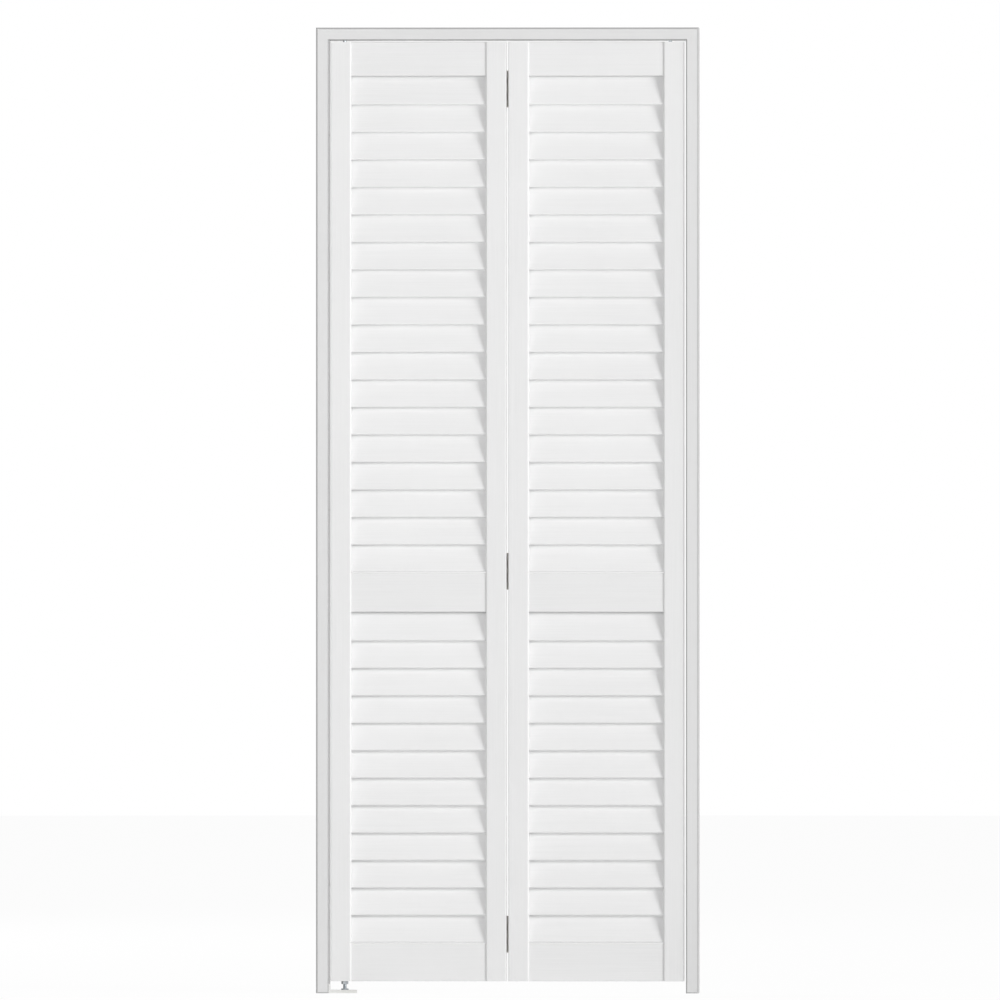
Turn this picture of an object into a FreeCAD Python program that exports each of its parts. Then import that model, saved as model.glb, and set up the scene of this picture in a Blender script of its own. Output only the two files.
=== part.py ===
import FreeCAD, Part
import math
import os

os.makedirs("parts", exist_ok=True)

# Two-leaf louvered folding closet door, hung in its own timber frame. Millimetres.
# X runs across the opening, Y from the front to the back of the frame, Z up. The origin lies on
# the floor, half-way across the opening and half-way through the depth of the frame.

# Frame
OPENING_WIDTH = 762.0
OPENING_HEIGHT = 2032.0
JAMB_THICKNESS = 27.0
JAMB_DEPTH = 116.0
FRAME_CHAMFER = 2.4
HOUSING_DEPTH = 10.0           # how far the head is let into each side jamb

# Screws that hold the head between the side jambs
FRAME_SCREW_COUNT = 3
FRAME_SCREW_LENGTH = 50.0
FRAME_SCREW_RADIUS = 2.2
FRAME_SCREW_HEAD_RADIUS = 4.4
FRAME_SCREW_EDGE = 14.0        # from the screw's axis to the groove or to the back of the jamb

# Countersunk holes through the side jambs, for the screws that fix the frame to the wall studs
FIXING_HOLE_RADIUS = 2.75
FIXING_SINK_RADIUS = 5.5
FIXING_ROW_SPACING = 60.0
FIXING_LOWEST = 230.0
FIXING_PITCH = 800.0
FIXING_COUNT = 3

# Leaves
LEAF_THICKNESS = 28.6          # of the stiles, which stand proud of the rails on both sides
RAIL_THICKNESS = 22.2
DOOR_SETBACK = 5.0             # front of the frame to the front of the leaves
FLOOR_GAP = 25.5
HEAD_GAP = 3.5
SIDE_GAP = 4.0
LEAF_GAP = 4.0
STILE_WIDTH = 44.0
TOP_RAIL_HEIGHT = 72.5
LOCK_RAIL_HEIGHT = 83.0
BOTTOM_RAIL_HEIGHT = 80.5
LOCK_RAIL_RISE = 787.5         # underside of the leaf to the underside of the lock rail
ARRIS_RADIUS = 2.0             # outer edges of the stiles, and all edges of the rails
STICKING_RADIUS = 3.5          # edges of the stiles on the side of the slats

# Slats
SLAT_WIDTH = 65.0
SLAT_THICKNESS = 6.5
SLAT_TILT = 13.5               # degrees from upright, with the lower edge to the front
SLAT_PITCH = 58.6              # wanted pitch, evened out over each bank
SLAT_FRONT_RECESS = 4.5        # front of the leaf to the lower edge of a slat
SLAT_RAIL_GAP = 1.5            # top of a rail to the lower edge of the slat above it
SLAT_LAP = 1.8                 # underside of a rail to the upper edge of the slat tucked behind it
SLOT_DEPTH = 8.0
SLOT_END_GAP = 0.5
SLOT_FIT = 0.2
REBATE_GAP = 0.5

# Dowels between rails and stiles
DOWEL_RADIUS = 4.0
DOWEL_LENGTH = 48.0
DOWEL_CHAMFER = 1.0
DOWEL_END_GAP = 0.5
DOWEL_SPACE = 1.5              # least timber between two dowels

# Running clearance, and the clearance of whatever is driven or pressed into a hole
RUNNING_FIT = 0.05
DRIVEN_FIT = 0.05

# Hinges between the leaves
HINGE_HEIGHT = 76.0
HINGE_PLATE_WIDTH = 24.0       # from the hinge's axis to the outer edge of a plate
HINGE_THICKNESS = 1.6
HINGE_BORE_RADIUS = 2.2
HINGE_KNUCKLES = 5
HINGE_KNUCKLE_GAP = 0.3
HINGE_CORNER_RADIUS = 4.0
HINGE_END_DISTANCE = 100.0     # end of the leaf to the middle of the nearest hinge
HINGE_MIDDLE_RISE = 874.0      # underside of the leaf to the middle of the middle hinge
HINGE_PIN_HEAD_RADIUS = 3.2
HINGE_PIN_HEAD_HEIGHT = 1.4
HINGE_SCREW_NEAR = 11.0
HINGE_SCREW_FAR = 16.5
HINGE_SCREW_EDGE = 11.0        # end of a plate to its nearest screw
HINGE_SCREW_LENGTH = 19.0
HINGE_SCREW_RADIUS = 1.75
HINGE_SCREW_HEAD_RADIUS = 3.2

# Overhead track, let into the underside of the head
TRACK_WIDTH = 24.0
TRACK_HEIGHT = 18.0
TRACK_WALL = 1.0
TRACK_MOUTH = 18.0
TRACK_BEND_RADIUS = 1.6
TRACK_END_GAP = 1.0
GROOVE_FIT = 0.25
TRACK_SCREW_COUNT = 5
TRACK_SCREW_END = 90.0         # end of the track to its first screw
TRACK_SCREW_LENGTH = 7.5
TRACK_SCREW_RADIUS = 1.75
TRACK_SCREW_HEAD_RADIUS = 3.2
TRACK_SCREW_HEAD_HEIGHT = 1.8

# Pivots and guide
PIVOT_OFFSET = 30.0            # outer edge of a leaf to its pivot or guide axis
PIN_RADIUS = 4.0
PIN_TIP_CHAMFER = 1.2
SLEEVE_RADIUS = 6.35
SLEEVE_LENGTH = 40.0
SLEEVE_FLANGE_RADIUS = 9.0
SLEEVE_FLANGE_THICKNESS = 1.5
SLEEVE_MOUTH_LENGTH = 4.0
SLEEVE_CHAMBER_RADIUS = 5.2
PIN_FOOT_FIT = 0.1
PIN_FOOT_HEIGHT = 3.0
SPRING_WIRE_RADIUS = 0.5
SPRING_SIDE_GAP = 0.4
SPRING_TURNS = 7

# Top pivot
TOP_PIN_RISE = 14.0            # underside of the head to the tip of the top pivot pin
PIVOT_BLOCK_HEIGHT = 12.0
PIVOT_BLOCK_BACK = 22.0        # pivot axis to the end of the block nearest the jamb
PIVOT_BLOCK_FRONT = 34.0       # pivot axis to the block's other end
PIVOT_BLOCK_FIT = 0.25
PIVOT_BLOCK_CORNER = 3.0
GRUB_SCREW_RADIUS = 3.0
GRUB_SCREW_OFFSET = 23.0       # pivot axis to the clamping screw
GRUB_SOCKET_FLATS = 3.0
GRUB_SOCKET_DEPTH = 3.5

# Guide wheel
WHEEL_RADIUS = 8.5
WHEEL_THICKNESS = 8.0
WHEEL_CHAMFER = 1.0
WHEEL_RISE = 4.0               # underside of the head to the wheel
WHEEL_SIDE_PLAY = 0.1
WHEEL_SPINDLE_RADIUS = 3.0
WHEEL_SEAT_RADIUS = 5.5
WHEEL_SEAT_THICKNESS = 1.5
WHEEL_RIVET_RADIUS = 4.6
WHEEL_RIVET_THICKNESS = 1.5

# Bottom pivot, on its bracket at the foot of the left jamb
BRACKET_LENGTH = 60.0
BRACKET_WIDTH = 30.0
BRACKET_THICKNESS = 2.0
BRACKET_RISE = 7.0             # floor to the top of the bracket's plate
BRACKET_UPRIGHT = 20.0         # floor to the top of the plate against the jamb
BRACKET_BEND_RADIUS = 1.5
BRACKET_CORNER_RADIUS = 4.0
SEAT_PITCH = 6.0
SEAT_COUNT = 5
SEAT_FIT = 0.15
SEAT_SLOT_WIDTH = 5.0
BRACKET_SCREW_SPACING = 18.0
BRACKET_SCREW_LENGTH = 20.0
BRACKET_SCREW_RADIUS = 2.0
BRACKET_SCREW_HEAD_RADIUS = 3.9
BOTTOM_PIN_TIP_RISE = 1.0      # floor to the lower tip of the bottom pivot pin
BOTTOM_PIN_REACH = 30.0        # how far the pin stands up into the leaf
COLLAR_FLATS = 14.0
COLLAR_HEIGHT = 3.0
NUT_FLATS = 13.0
NUT_HEIGHT = 6.5

# Screw points and driver recesses
SCREW_POINT_LENGTH = 3.0
SCREW_TIP_RADIUS = 0.3
DRIVER_SLOT_WIDTH = 0.9
DRIVER_SLOT_SHARE = 0.5        # length of the driver's cross, as a share of the head's width
DRIVER_DEPTH_SHARE = 0.35      # depth of the cross, as a share of the head's radius
CUT_OVERRUN = 1.0              # how far a cutting solid runs past the face that it opens

# Places worked out from the sizes above
HALF_OPENING = OPENING_WIDTH / 2
FRAME_FRONT = -JAMB_DEPTH / 2
FRAME_BACK = JAMB_DEPTH / 2
FRAME_TOP = OPENING_HEIGHT + JAMB_THICKNESS
LEAF_FRONT = FRAME_FRONT + DOOR_SETBACK
LEAF_MIDDLE = LEAF_FRONT + LEAF_THICKNESS / 2
LEAF_BACK = LEAF_FRONT + LEAF_THICKNESS
RAIL_FRONT = LEAF_MIDDLE - RAIL_THICKNESS / 2
RAIL_BACK = LEAF_MIDDLE + RAIL_THICKNESS / 2
LEAF_BOTTOM = FLOOR_GAP
LEAF_TOP = OPENING_HEIGHT - HEAD_GAP
LOCK_RAIL_BOTTOM = LEAF_BOTTOM + LOCK_RAIL_RISE
LOCK_RAIL_TOP = LOCK_RAIL_BOTTOM + LOCK_RAIL_HEIGHT
BOTTOM_RAIL_TOP = LEAF_BOTTOM + BOTTOM_RAIL_HEIGHT
TOP_RAIL_BOTTOM = LEAF_TOP - TOP_RAIL_HEIGHT
LEAF_OUTER_EDGE = HALF_OPENING - SIDE_GAP
LEAF_FOLD_EDGE = LEAF_GAP / 2
PIVOT_X = LEAF_OUTER_EDGE - PIVOT_OFFSET
HINGE_AXIS_Y = LEAF_BACK + HINGE_THICKNESS + HINGE_BORE_RADIUS
KNUCKLE_RADIUS = HINGE_THICKNESS + HINGE_BORE_RADIUS
SLAT_RADIUS = SLAT_THICKNESS / 2
SLAT_TILT_ANGLE = math.radians(SLAT_TILT)
SLAT_RUN = (SLAT_WIDTH - SLAT_THICKNESS) * math.sin(SLAT_TILT_ANGLE)
SLAT_RISE = (SLAT_WIDTH - SLAT_THICKNESS) * math.cos(SLAT_TILT_ANGLE)
SLAT_HEIGHT = SLAT_RISE + SLAT_THICKNESS
SLAT_BACK_RECESS = LEAF_THICKNESS - SLAT_FRONT_RECESS - SLAT_RUN - SLAT_THICKNESS
REBATE_HEIGHT = SLAT_LAP + REBATE_GAP
REBATE_LEAN = REBATE_HEIGHT * math.tan(SLAT_TILT_ANGLE)
REBATE_DEPTH = SLAT_BACK_RECESS + SLAT_THICKNESS / math.cos(SLAT_TILT_ANGLE) + REBATE_LEAN + REBATE_GAP
SLEEVE_BOTTOM = LEAF_TOP - SLEEVE_LENGTH
PIN_FOOT_TOP = LEAF_TOP - SLEEVE_MOUTH_LENGTH
PIN_FOOT_BOTTOM = PIN_FOOT_TOP - PIN_FOOT_HEIGHT
PIN_FOOT_RADIUS = SLEEVE_CHAMBER_RADIUS - PIN_FOOT_FIT
TRACK_TOP = OPENING_HEIGHT + TRACK_HEIGHT
LIP_TOP = OPENING_HEIGHT + TRACK_WALL
TRACK_CEILING = TRACK_TOP - TRACK_WALL
WHEEL_BOTTOM = OPENING_HEIGHT + WHEEL_RISE
WHEEL_TOP = WHEEL_BOTTOM + WHEEL_THICKNESS

VECTOR = FreeCAD.Vector
ALONG_X = VECTOR(1, 0, 0)
ALONG_Y = VECTOR(0, 1, 0)
ALONG_Z = VECTOR(0, 0, 1)


def block(x_limits, y_limits, z_limits):
    """A box between two limits on each axis, given in either order."""
    low = VECTOR(min(x_limits), min(y_limits), min(z_limits))
    high = VECTOR(max(x_limits), max(y_limits), max(z_limits))
    size = high - low
    return Part.makeBox(size.x, size.y, size.z, low)


def rod(radius, start, end):
    """A cylinder from one point to another."""
    return Part.makeCylinder(radius, (end - start).Length, start, end - start)


def upright_rod(radius, x, y, bottom, top):
    """A vertical cylinder."""
    return rod(radius, VECTOR(x, y, bottom), VECTOR(x, y, top))


def hexagon(flats, x, y, bottom, top):
    """A vertical hexagonal prism of a given width across its flats."""
    radius = flats / math.sqrt(3)
    corners = []
    for side in range(7):
        turn = math.radians(60 * side)
        corners.append(VECTOR(x + radius * math.cos(turn), y + radius * math.sin(turn), bottom))
    return Part.Face(Part.makePolygon(corners)).extrude(ALONG_Z * (top - bottom))


def edges_along(shape, direction):
    """The straight edges of a shape that run along one axis."""
    found = []
    for edge in shape.Edges:
        span = edge.Vertexes[-1].Point - edge.Vertexes[0].Point
        if span.Length > 0 and abs(abs(span.normalize().dot(direction)) - 1) < 1e-6:
            found.append(edge)
    return found


def rounded(shape, direction, radius):
    """A shape with its edges along one axis rounded."""
    return shape.makeFillet(radius, edges_along(shape, direction))


def upright_edges_at(shape, x):
    """The vertical edges of a shape that stand at one x."""
    return [edge for edge in edges_along(shape, ALONG_Z) if abs(edge.BoundBox.Center.x - x) < 1e-6]


def spread(first, last, count):
    """Evenly spaced values from first to last."""
    if count < 2:
        return [(first + last) / 2]
    return [first + (last - first) * step / (count - 1) for step in range(count)]


def turned(shape, point, direction):
    """A shape made along +Z from the origin, stood on a point and turned to a direction."""
    shape.Placement = FreeCAD.Placement(point, FreeCAD.Rotation(ALONG_Z, direction))
    return shape


def driver_cross(head_radius):
    """The cross recess of a screw whose head lies at the origin, driven along +Z."""
    reach = head_radius * DRIVER_SLOT_SHARE
    half = DRIVER_SLOT_WIDTH / 2
    depth = (-CUT_OVERRUN, head_radius * DRIVER_DEPTH_SHARE)
    return block((-reach, reach), (-half, half), depth).fuse(block((-half, half), (-reach, reach), depth))


def sunk_screw(point, direction, radius, head_radius, length):
    """A countersunk wood screw, its head's flat face at point, driven along direction."""
    cone = head_radius - radius
    head = Part.makeCone(head_radius, radius, cone)
    shank = upright_rod(radius, 0, 0, cone, length - SCREW_POINT_LENGTH)
    tip = Part.makeCone(radius, SCREW_TIP_RADIUS, SCREW_POINT_LENGTH, ALONG_Z * (length - SCREW_POINT_LENGTH))
    screw = head.fuse([shank, tip]).removeSplitter().cut(driver_cross(head_radius))
    return turned(screw, point, direction)


def sunk_hole(point, direction, radius, head_radius, length):
    """The countersunk hole that a screw of these sizes is driven into."""
    wide = head_radius + DRIVEN_FIT
    narrow = radius + DRIVEN_FIT
    mouth = upright_rod(wide, 0, 0, -CUT_OVERRUN, DRIVEN_FIT)
    cone = Part.makeCone(wide, narrow, wide - narrow, ALONG_Z * DRIVEN_FIT)
    bore = upright_rod(narrow, 0, 0, 0, length + DRIVEN_FIT)
    return turned(mouth.fuse([cone, bore]), point, direction)


def save(name, solids):
    """Write one node's solids to its STEP file."""
    shape = solids[0] if len(solids) == 1 else Part.makeCompound(solids)
    shape.exportStep("parts/" + name + ".step")


# ---- Frame -------------------------------------------------------------------------------------

def frame_blank():
    """The whole frame in one piece, with its front and back edges chamfered."""
    outer_x = HALF_OPENING + JAMB_THICKNESS
    depth = (FRAME_FRONT, FRAME_BACK)
    outer = block((-outer_x, outer_x), depth, (0, FRAME_TOP))
    inner = block((-HALF_OPENING, HALF_OPENING), depth, (0, OPENING_HEIGHT))
    blank = outer.cut(inner)
    edges = []
    for edge in blank.Edges:
        along_depth = abs(edge.Vertexes[0].Point.y - edge.Vertexes[-1].Point.y) > 1
        on_floor = edge.BoundBox.ZMax < 1
        if not along_depth and not on_floor:
            edges.append(edge)
    return blank.makeChamfer(FRAME_CHAMFER, edges)


def frame_screw_rows():
    """Where the head's screws lie through the depth of the frame, clear of the track's groove."""
    groove_back = LEAF_MIDDLE + TRACK_WIDTH / 2 + GROOVE_FIT
    return spread(groove_back + FRAME_SCREW_EDGE, FRAME_BACK - FRAME_SCREW_EDGE, FRAME_SCREW_COUNT)


def frame_screw_places():
    """Head point and direction of each screw that joins a side jamb to the head."""
    places = []
    for side in (-1, 1):
        for row in frame_screw_rows():
            point = VECTOR(side * (HALF_OPENING + JAMB_THICKNESS), row, OPENING_HEIGHT + JAMB_THICKNESS / 2)
            places.append((point, ALONG_X * -side))
    return places


def fixing_holes(side):
    """The countersunk holes through one side jamb."""
    holes = []
    sink_depth = FIXING_SINK_RADIUS - FIXING_HOLE_RADIUS
    for step in range(FIXING_COUNT):
        for row in (-FIXING_ROW_SPACING / 2, FIXING_ROW_SPACING / 2):
            mouth = VECTOR(side * HALF_OPENING, row, FIXING_LOWEST + step * FIXING_PITCH)
            far = mouth + ALONG_X * side * (JAMB_THICKNESS + CUT_OVERRUN)
            holes.append(rod(FIXING_HOLE_RADIUS, mouth, far))
            holes.append(Part.makeCone(FIXING_SINK_RADIUS, FIXING_HOLE_RADIUS, sink_depth, mouth, ALONG_X * side))
    return holes


def make_frame():
    """Side jambs, head and their screws."""
    blank = frame_blank()
    head_reach = HALF_OPENING + HOUSING_DEPTH
    past = (FRAME_FRONT - CUT_OVERRUN, FRAME_BACK + CUT_OVERRUN)
    head_space = block((-head_reach, head_reach), past, (OPENING_HEIGHT, FRAME_TOP + CUT_OVERRUN))
    screw_places = frame_screw_places()
    screw_holes = []
    for point, direction in screw_places:
        sizes = (FRAME_SCREW_RADIUS, FRAME_SCREW_HEAD_RADIUS, FRAME_SCREW_LENGTH)
        screw_holes.append(sunk_hole(point, direction, *sizes))

    sides = blank.cut(head_space).cut(screw_holes)
    for name, side in (("left_jamb", -1), ("right_jamb", 1)):
        jamb = [solid for solid in sides.Solids if solid.CenterOfMass.x * side > 0][0]
        jamb = jamb.cut(fixing_holes(side))
        if side < 0:
            jamb = jamb.cut(bottom_bracket_screw_holes())
        save(name, jamb.Solids)

    groove_half = TRACK_WIDTH / 2 + GROOVE_FIT
    groove = block((-HALF_OPENING, HALF_OPENING), (LEAF_MIDDLE - groove_half, LEAF_MIDDLE + groove_half),
                   (OPENING_HEIGHT - CUT_OVERRUN, TRACK_TOP))
    head = blank.common(head_space).cut(groove).cut(screw_holes + track_screw_holes())
    save("head_jamb", head.Solids)

    screws = []
    for point, direction in screw_places:
        sizes = (FRAME_SCREW_RADIUS, FRAME_SCREW_HEAD_RADIUS, FRAME_SCREW_LENGTH)
        screws.append(sunk_screw(point, direction, *sizes))
    save("frame_screws", screws)


# ---- Track -------------------------------------------------------------------------------------

def track_screw_positions():
    """Where the track's screws lie along it."""
    reach = HALF_OPENING - TRACK_END_GAP - TRACK_SCREW_END
    return spread(-reach, reach, TRACK_SCREW_COUNT)


def track_screw_holes():
    """Pilot holes up into the head, and through the track's top."""
    holes = []
    for x in track_screw_positions():
        top = TRACK_CEILING + TRACK_WALL + TRACK_SCREW_LENGTH + DRIVEN_FIT
        holes.append(upright_rod(TRACK_SCREW_RADIUS + DRIVEN_FIT, x, LEAF_MIDDLE, TRACK_CEILING - CUT_OVERRUN, top))
    return holes


def make_track():
    """The roll-formed track and the pan-head screws that hold it up."""
    half_length = HALF_OPENING - TRACK_END_GAP
    span = (-half_length, half_length)
    half = TRACK_WIDTH / 2
    outer = block(span, (LEAF_MIDDLE - half, LEAF_MIDDLE + half), (OPENING_HEIGHT, TRACK_TOP))
    outer = rounded(outer, ALONG_X, TRACK_BEND_RADIUS)
    inner_half = half - TRACK_WALL
    inner = block(span, (LEAF_MIDDLE - inner_half, LEAF_MIDDLE + inner_half), (LIP_TOP, TRACK_CEILING))
    inner = rounded(inner, ALONG_X, TRACK_BEND_RADIUS - TRACK_WALL)
    mouth_half = TRACK_MOUTH / 2
    mouth = block(span, (LEAF_MIDDLE - mouth_half, LEAF_MIDDLE + mouth_half),
                  (OPENING_HEIGHT - CUT_OVERRUN, LIP_TOP + CUT_OVERRUN))
    track = outer.cut(inner).cut([mouth] + track_screw_holes())
    save("top_track", track.Solids)

    screws = []
    for x in track_screw_positions():
        head = upright_rod(TRACK_SCREW_HEAD_RADIUS, 0, 0, 0, TRACK_SCREW_HEAD_HEIGHT)
        rim = [edge for edge in head.Edges if edge.BoundBox.ZMax < TRACK_SCREW_HEAD_HEIGHT / 2]
        head = head.makeFillet(TRACK_SCREW_HEAD_HEIGHT / 2, rim)
        shank_top = TRACK_SCREW_HEAD_HEIGHT + TRACK_WALL + TRACK_SCREW_LENGTH - SCREW_POINT_LENGTH
        shank = upright_rod(TRACK_SCREW_RADIUS, 0, 0, TRACK_SCREW_HEAD_HEIGHT, shank_top)
        tip = Part.makeCone(TRACK_SCREW_RADIUS, SCREW_TIP_RADIUS, SCREW_POINT_LENGTH, ALONG_Z * shank_top)
        screw = head.fuse([shank, tip]).cut(driver_cross(TRACK_SCREW_HEAD_RADIUS))
        point = VECTOR(x, LEAF_MIDDLE, TRACK_CEILING - TRACK_SCREW_HEAD_HEIGHT)
        screws.append(turned(screw, point, ALONG_Z))
    save("track_screws", screws)


# ---- Top pivot ---------------------------------------------------------------------------------

def make_top_pivot_bracket():
    """The block that is clamped in the track and holds the top pivot pin, and its grub screw."""
    half = TRACK_WIDTH / 2 - TRACK_WALL - PIVOT_BLOCK_FIT
    span = (-PIVOT_X - PIVOT_BLOCK_BACK, -PIVOT_X + PIVOT_BLOCK_FRONT)
    body = block(span, (LEAF_MIDDLE - half, LEAF_MIDDLE + half), (LIP_TOP, LIP_TOP + PIVOT_BLOCK_HEIGHT))
    body = rounded(body, ALONG_Z, PIVOT_BLOCK_CORNER)
    foot = [edge for edge in body.Edges if edge.BoundBox.ZMax < LIP_TOP + PIVOT_BLOCK_HEIGHT / 2]
    body = body.makeChamfer(TRACK_BEND_RADIUS - TRACK_WALL, foot)
    top = LIP_TOP + PIVOT_BLOCK_HEIGHT + CUT_OVERRUN
    socket = upright_rod(PIN_RADIUS + RUNNING_FIT, -PIVOT_X, LEAF_MIDDLE, LIP_TOP - CUT_OVERRUN, top)
    grub_x = -PIVOT_X + GRUB_SCREW_OFFSET
    thread = upright_rod(GRUB_SCREW_RADIUS + DRIVEN_FIT, grub_x, LEAF_MIDDLE, LIP_TOP - CUT_OVERRUN, top)
    save("top_pivot_bracket", body.cut([socket, thread]).Solids)

    grub = upright_rod(GRUB_SCREW_RADIUS, grub_x, LEAF_MIDDLE, LIP_TOP + CUT_OVERRUN, TRACK_CEILING)
    recess = hexagon(GRUB_SOCKET_FLATS, grub_x, LEAF_MIDDLE, LIP_TOP, LIP_TOP + CUT_OVERRUN + GRUB_SOCKET_DEPTH)
    save("bracket_grub_screw", [grub.cut(recess)])


def sprung_sleeve(x):
    """A flanged nylon sleeve for the top of a leaf. Its wide chamber is open below, where the
    timber closes it."""
    tube = upright_rod(SLEEVE_RADIUS, x, LEAF_MIDDLE, SLEEVE_BOTTOM, LEAF_TOP)
    flange = upright_rod(SLEEVE_FLANGE_RADIUS, x, LEAF_MIDDLE, LEAF_TOP - SLEEVE_FLANGE_THICKNESS, LEAF_TOP)
    mouth = upright_rod(PIN_RADIUS + RUNNING_FIT, x, LEAF_MIDDLE, SLEEVE_BOTTOM, LEAF_TOP + CUT_OVERRUN)
    chamber = upright_rod(SLEEVE_CHAMBER_RADIUS, x, LEAF_MIDDLE, SLEEVE_BOTTOM - CUT_OVERRUN, PIN_FOOT_TOP)
    return tube.fuse(flange).removeSplitter().cut([mouth, chamber])


def spring(x):
    """The coil spring between the bottom of the sleeve's hole and the foot of its pin."""
    radius = SLEEVE_CHAMBER_RADIUS - SPRING_SIDE_GAP - SPRING_WIRE_RADIUS
    height = PIN_FOOT_BOTTOM - SLEEVE_BOTTOM - 2 * SPRING_WIRE_RADIUS
    path = Part.makeHelix(height / SPRING_TURNS, height, radius)
    section = Part.Wire(Part.makeCircle(SPRING_WIRE_RADIUS, VECTOR(radius, 0, 0), ALONG_Y))
    coil = Part.Wire(path.Edges).makePipeShell([section], True, True)
    coil.translate(VECTOR(x, LEAF_MIDDLE, SLEEVE_BOTTOM + SPRING_WIRE_RADIUS))
    return coil


def sprung_pin_foot(x):
    """The collar that keeps a sprung pin inside its sleeve."""
    return upright_rod(PIN_FOOT_RADIUS, x, LEAF_MIDDLE, PIN_FOOT_BOTTOM, PIN_FOOT_TOP)


def make_top_pivot():
    """Sleeve, spring and pin at the top of the pivot leaf."""
    save("top_pivot_sleeve", [sprung_sleeve(-PIVOT_X)])
    save("top_pivot_spring", [spring(-PIVOT_X)])
    shaft_top = OPENING_HEIGHT + TOP_PIN_RISE - PIN_TIP_CHAMFER
    shaft = upright_rod(PIN_RADIUS, -PIVOT_X, LEAF_MIDDLE, PIN_FOOT_BOTTOM, shaft_top)
    tip = Part.makeCone(PIN_RADIUS, PIN_RADIUS - PIN_TIP_CHAMFER, PIN_TIP_CHAMFER,
                        VECTOR(-PIVOT_X, LEAF_MIDDLE, shaft_top))
    save("top_pivot_pin", [sprung_pin_foot(-PIVOT_X).fuse([shaft, tip]).removeSplitter()])


# ---- Guide -------------------------------------------------------------------------------------

def make_guide():
    """Sleeve, spring, pin and wheel at the top of the lead leaf."""
    save("guide_sleeve", [sprung_sleeve(PIVOT_X)])
    save("guide_spring", [spring(PIVOT_X)])
    seat_bottom = WHEEL_BOTTOM - WHEEL_SEAT_THICKNESS
    rivet_top = WHEEL_TOP + WHEEL_RIVET_THICKNESS
    shaft = upright_rod(PIN_RADIUS, PIVOT_X, LEAF_MIDDLE, PIN_FOOT_BOTTOM, seat_bottom)
    seat = upright_rod(WHEEL_SEAT_RADIUS, PIVOT_X, LEAF_MIDDLE, seat_bottom, WHEEL_BOTTOM)
    spindle = upright_rod(WHEEL_SPINDLE_RADIUS, PIVOT_X, LEAF_MIDDLE, WHEEL_BOTTOM, WHEEL_TOP)
    rivet = upright_rod(WHEEL_RIVET_RADIUS, PIVOT_X, LEAF_MIDDLE, WHEEL_TOP, rivet_top)
    save("guide_pin", [sprung_pin_foot(PIVOT_X).fuse([shaft, seat, spindle, rivet]).removeSplitter()])

    low = WHEEL_BOTTOM + WHEEL_SIDE_PLAY
    high = WHEEL_TOP - WHEEL_SIDE_PLAY
    wheel = upright_rod(WHEEL_RADIUS, PIVOT_X, LEAF_MIDDLE, low, high)
    rims = [edge for edge in wheel.Edges if edge.BoundBox.ZLength < WHEEL_CHAMFER]
    wheel = wheel.makeChamfer(WHEEL_CHAMFER, rims)
    bore = upright_rod(WHEEL_SPINDLE_RADIUS + RUNNING_FIT, PIVOT_X, LEAF_MIDDLE, WHEEL_BOTTOM, WHEEL_TOP)
    save("guide_wheel", [wheel.cut(bore)])


# ---- Bottom pivot ------------------------------------------------------------------------------

def bottom_bracket_screw_places():
    """Head points of the two screws through the bracket's upright, into the left jamb."""
    x = -HALF_OPENING + BRACKET_THICKNESS
    z = (BRACKET_RISE + BRACKET_UPRIGHT) / 2
    half = BRACKET_SCREW_SPACING / 2
    return [VECTOR(x, LEAF_MIDDLE - half, z), VECTOR(x, LEAF_MIDDLE + half, z)]


def bottom_bracket_screw_holes():
    """The holes for those screws, through the upright and into the jamb."""
    sizes = (BRACKET_SCREW_RADIUS, BRACKET_SCREW_HEAD_RADIUS, BRACKET_SCREW_LENGTH)
    return [sunk_hole(point, -ALONG_X, *sizes) for point in bottom_bracket_screw_places()]


def make_bottom_bracket():
    """The pressed steel tray that carries the door at the foot of the left jamb."""
    near = -HALF_OPENING
    far = near + BRACKET_LENGTH
    half = BRACKET_WIDTH / 2
    wall = BRACKET_THICKNESS
    tray = block((near, far), (LEAF_MIDDLE - half, LEAF_MIDDLE + half), (0, BRACKET_RISE))
    top_long = [edge for edge in edges_along(tray, ALONG_X) if edge.BoundBox.ZMin > wall]
    tray = tray.makeFillet(BRACKET_BEND_RADIUS, top_long)
    hollow = block((near + wall, far - wall), (LEAF_MIDDLE - half + wall, LEAF_MIDDLE + half - wall),
                   (-CUT_OVERRUN, BRACKET_RISE - wall))
    upright = block((near, near + wall), (LEAF_MIDDLE - half, LEAF_MIDDLE + half), (0, BRACKET_UPRIGHT))
    corners = [edge for edge in edges_along(upright, ALONG_X) if edge.BoundBox.ZMin > BRACKET_RISE]
    upright = upright.makeFillet(BRACKET_CORNER_RADIUS, corners)

    reach = SEAT_PITCH * (SEAT_COUNT - 1) / 2
    slot = block((-PIVOT_X - reach, -PIVOT_X + reach),
                 (LEAF_MIDDLE - SEAT_SLOT_WIDTH / 2, LEAF_MIDDLE + SEAT_SLOT_WIDTH / 2), (0, BRACKET_RISE + CUT_OVERRUN))
    seats = [upright_rod(PIN_RADIUS + SEAT_FIT, x, LEAF_MIDDLE, 0, BRACKET_RISE + CUT_OVERRUN)
             for x in spread(-PIVOT_X - reach, -PIVOT_X + reach, SEAT_COUNT)]
    bracket = tray.cut(hollow).fuse(upright).removeSplitter()
    bracket = bracket.cut(seats + [slot] + bottom_bracket_screw_holes())
    save("bottom_pivot_bracket", bracket.Solids)

    sizes = (BRACKET_SCREW_RADIUS, BRACKET_SCREW_HEAD_RADIUS, BRACKET_SCREW_LENGTH)
    save("bottom_bracket_screws",
         [sunk_screw(point, -ALONG_X, *sizes) for point in bottom_bracket_screw_places()])


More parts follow.
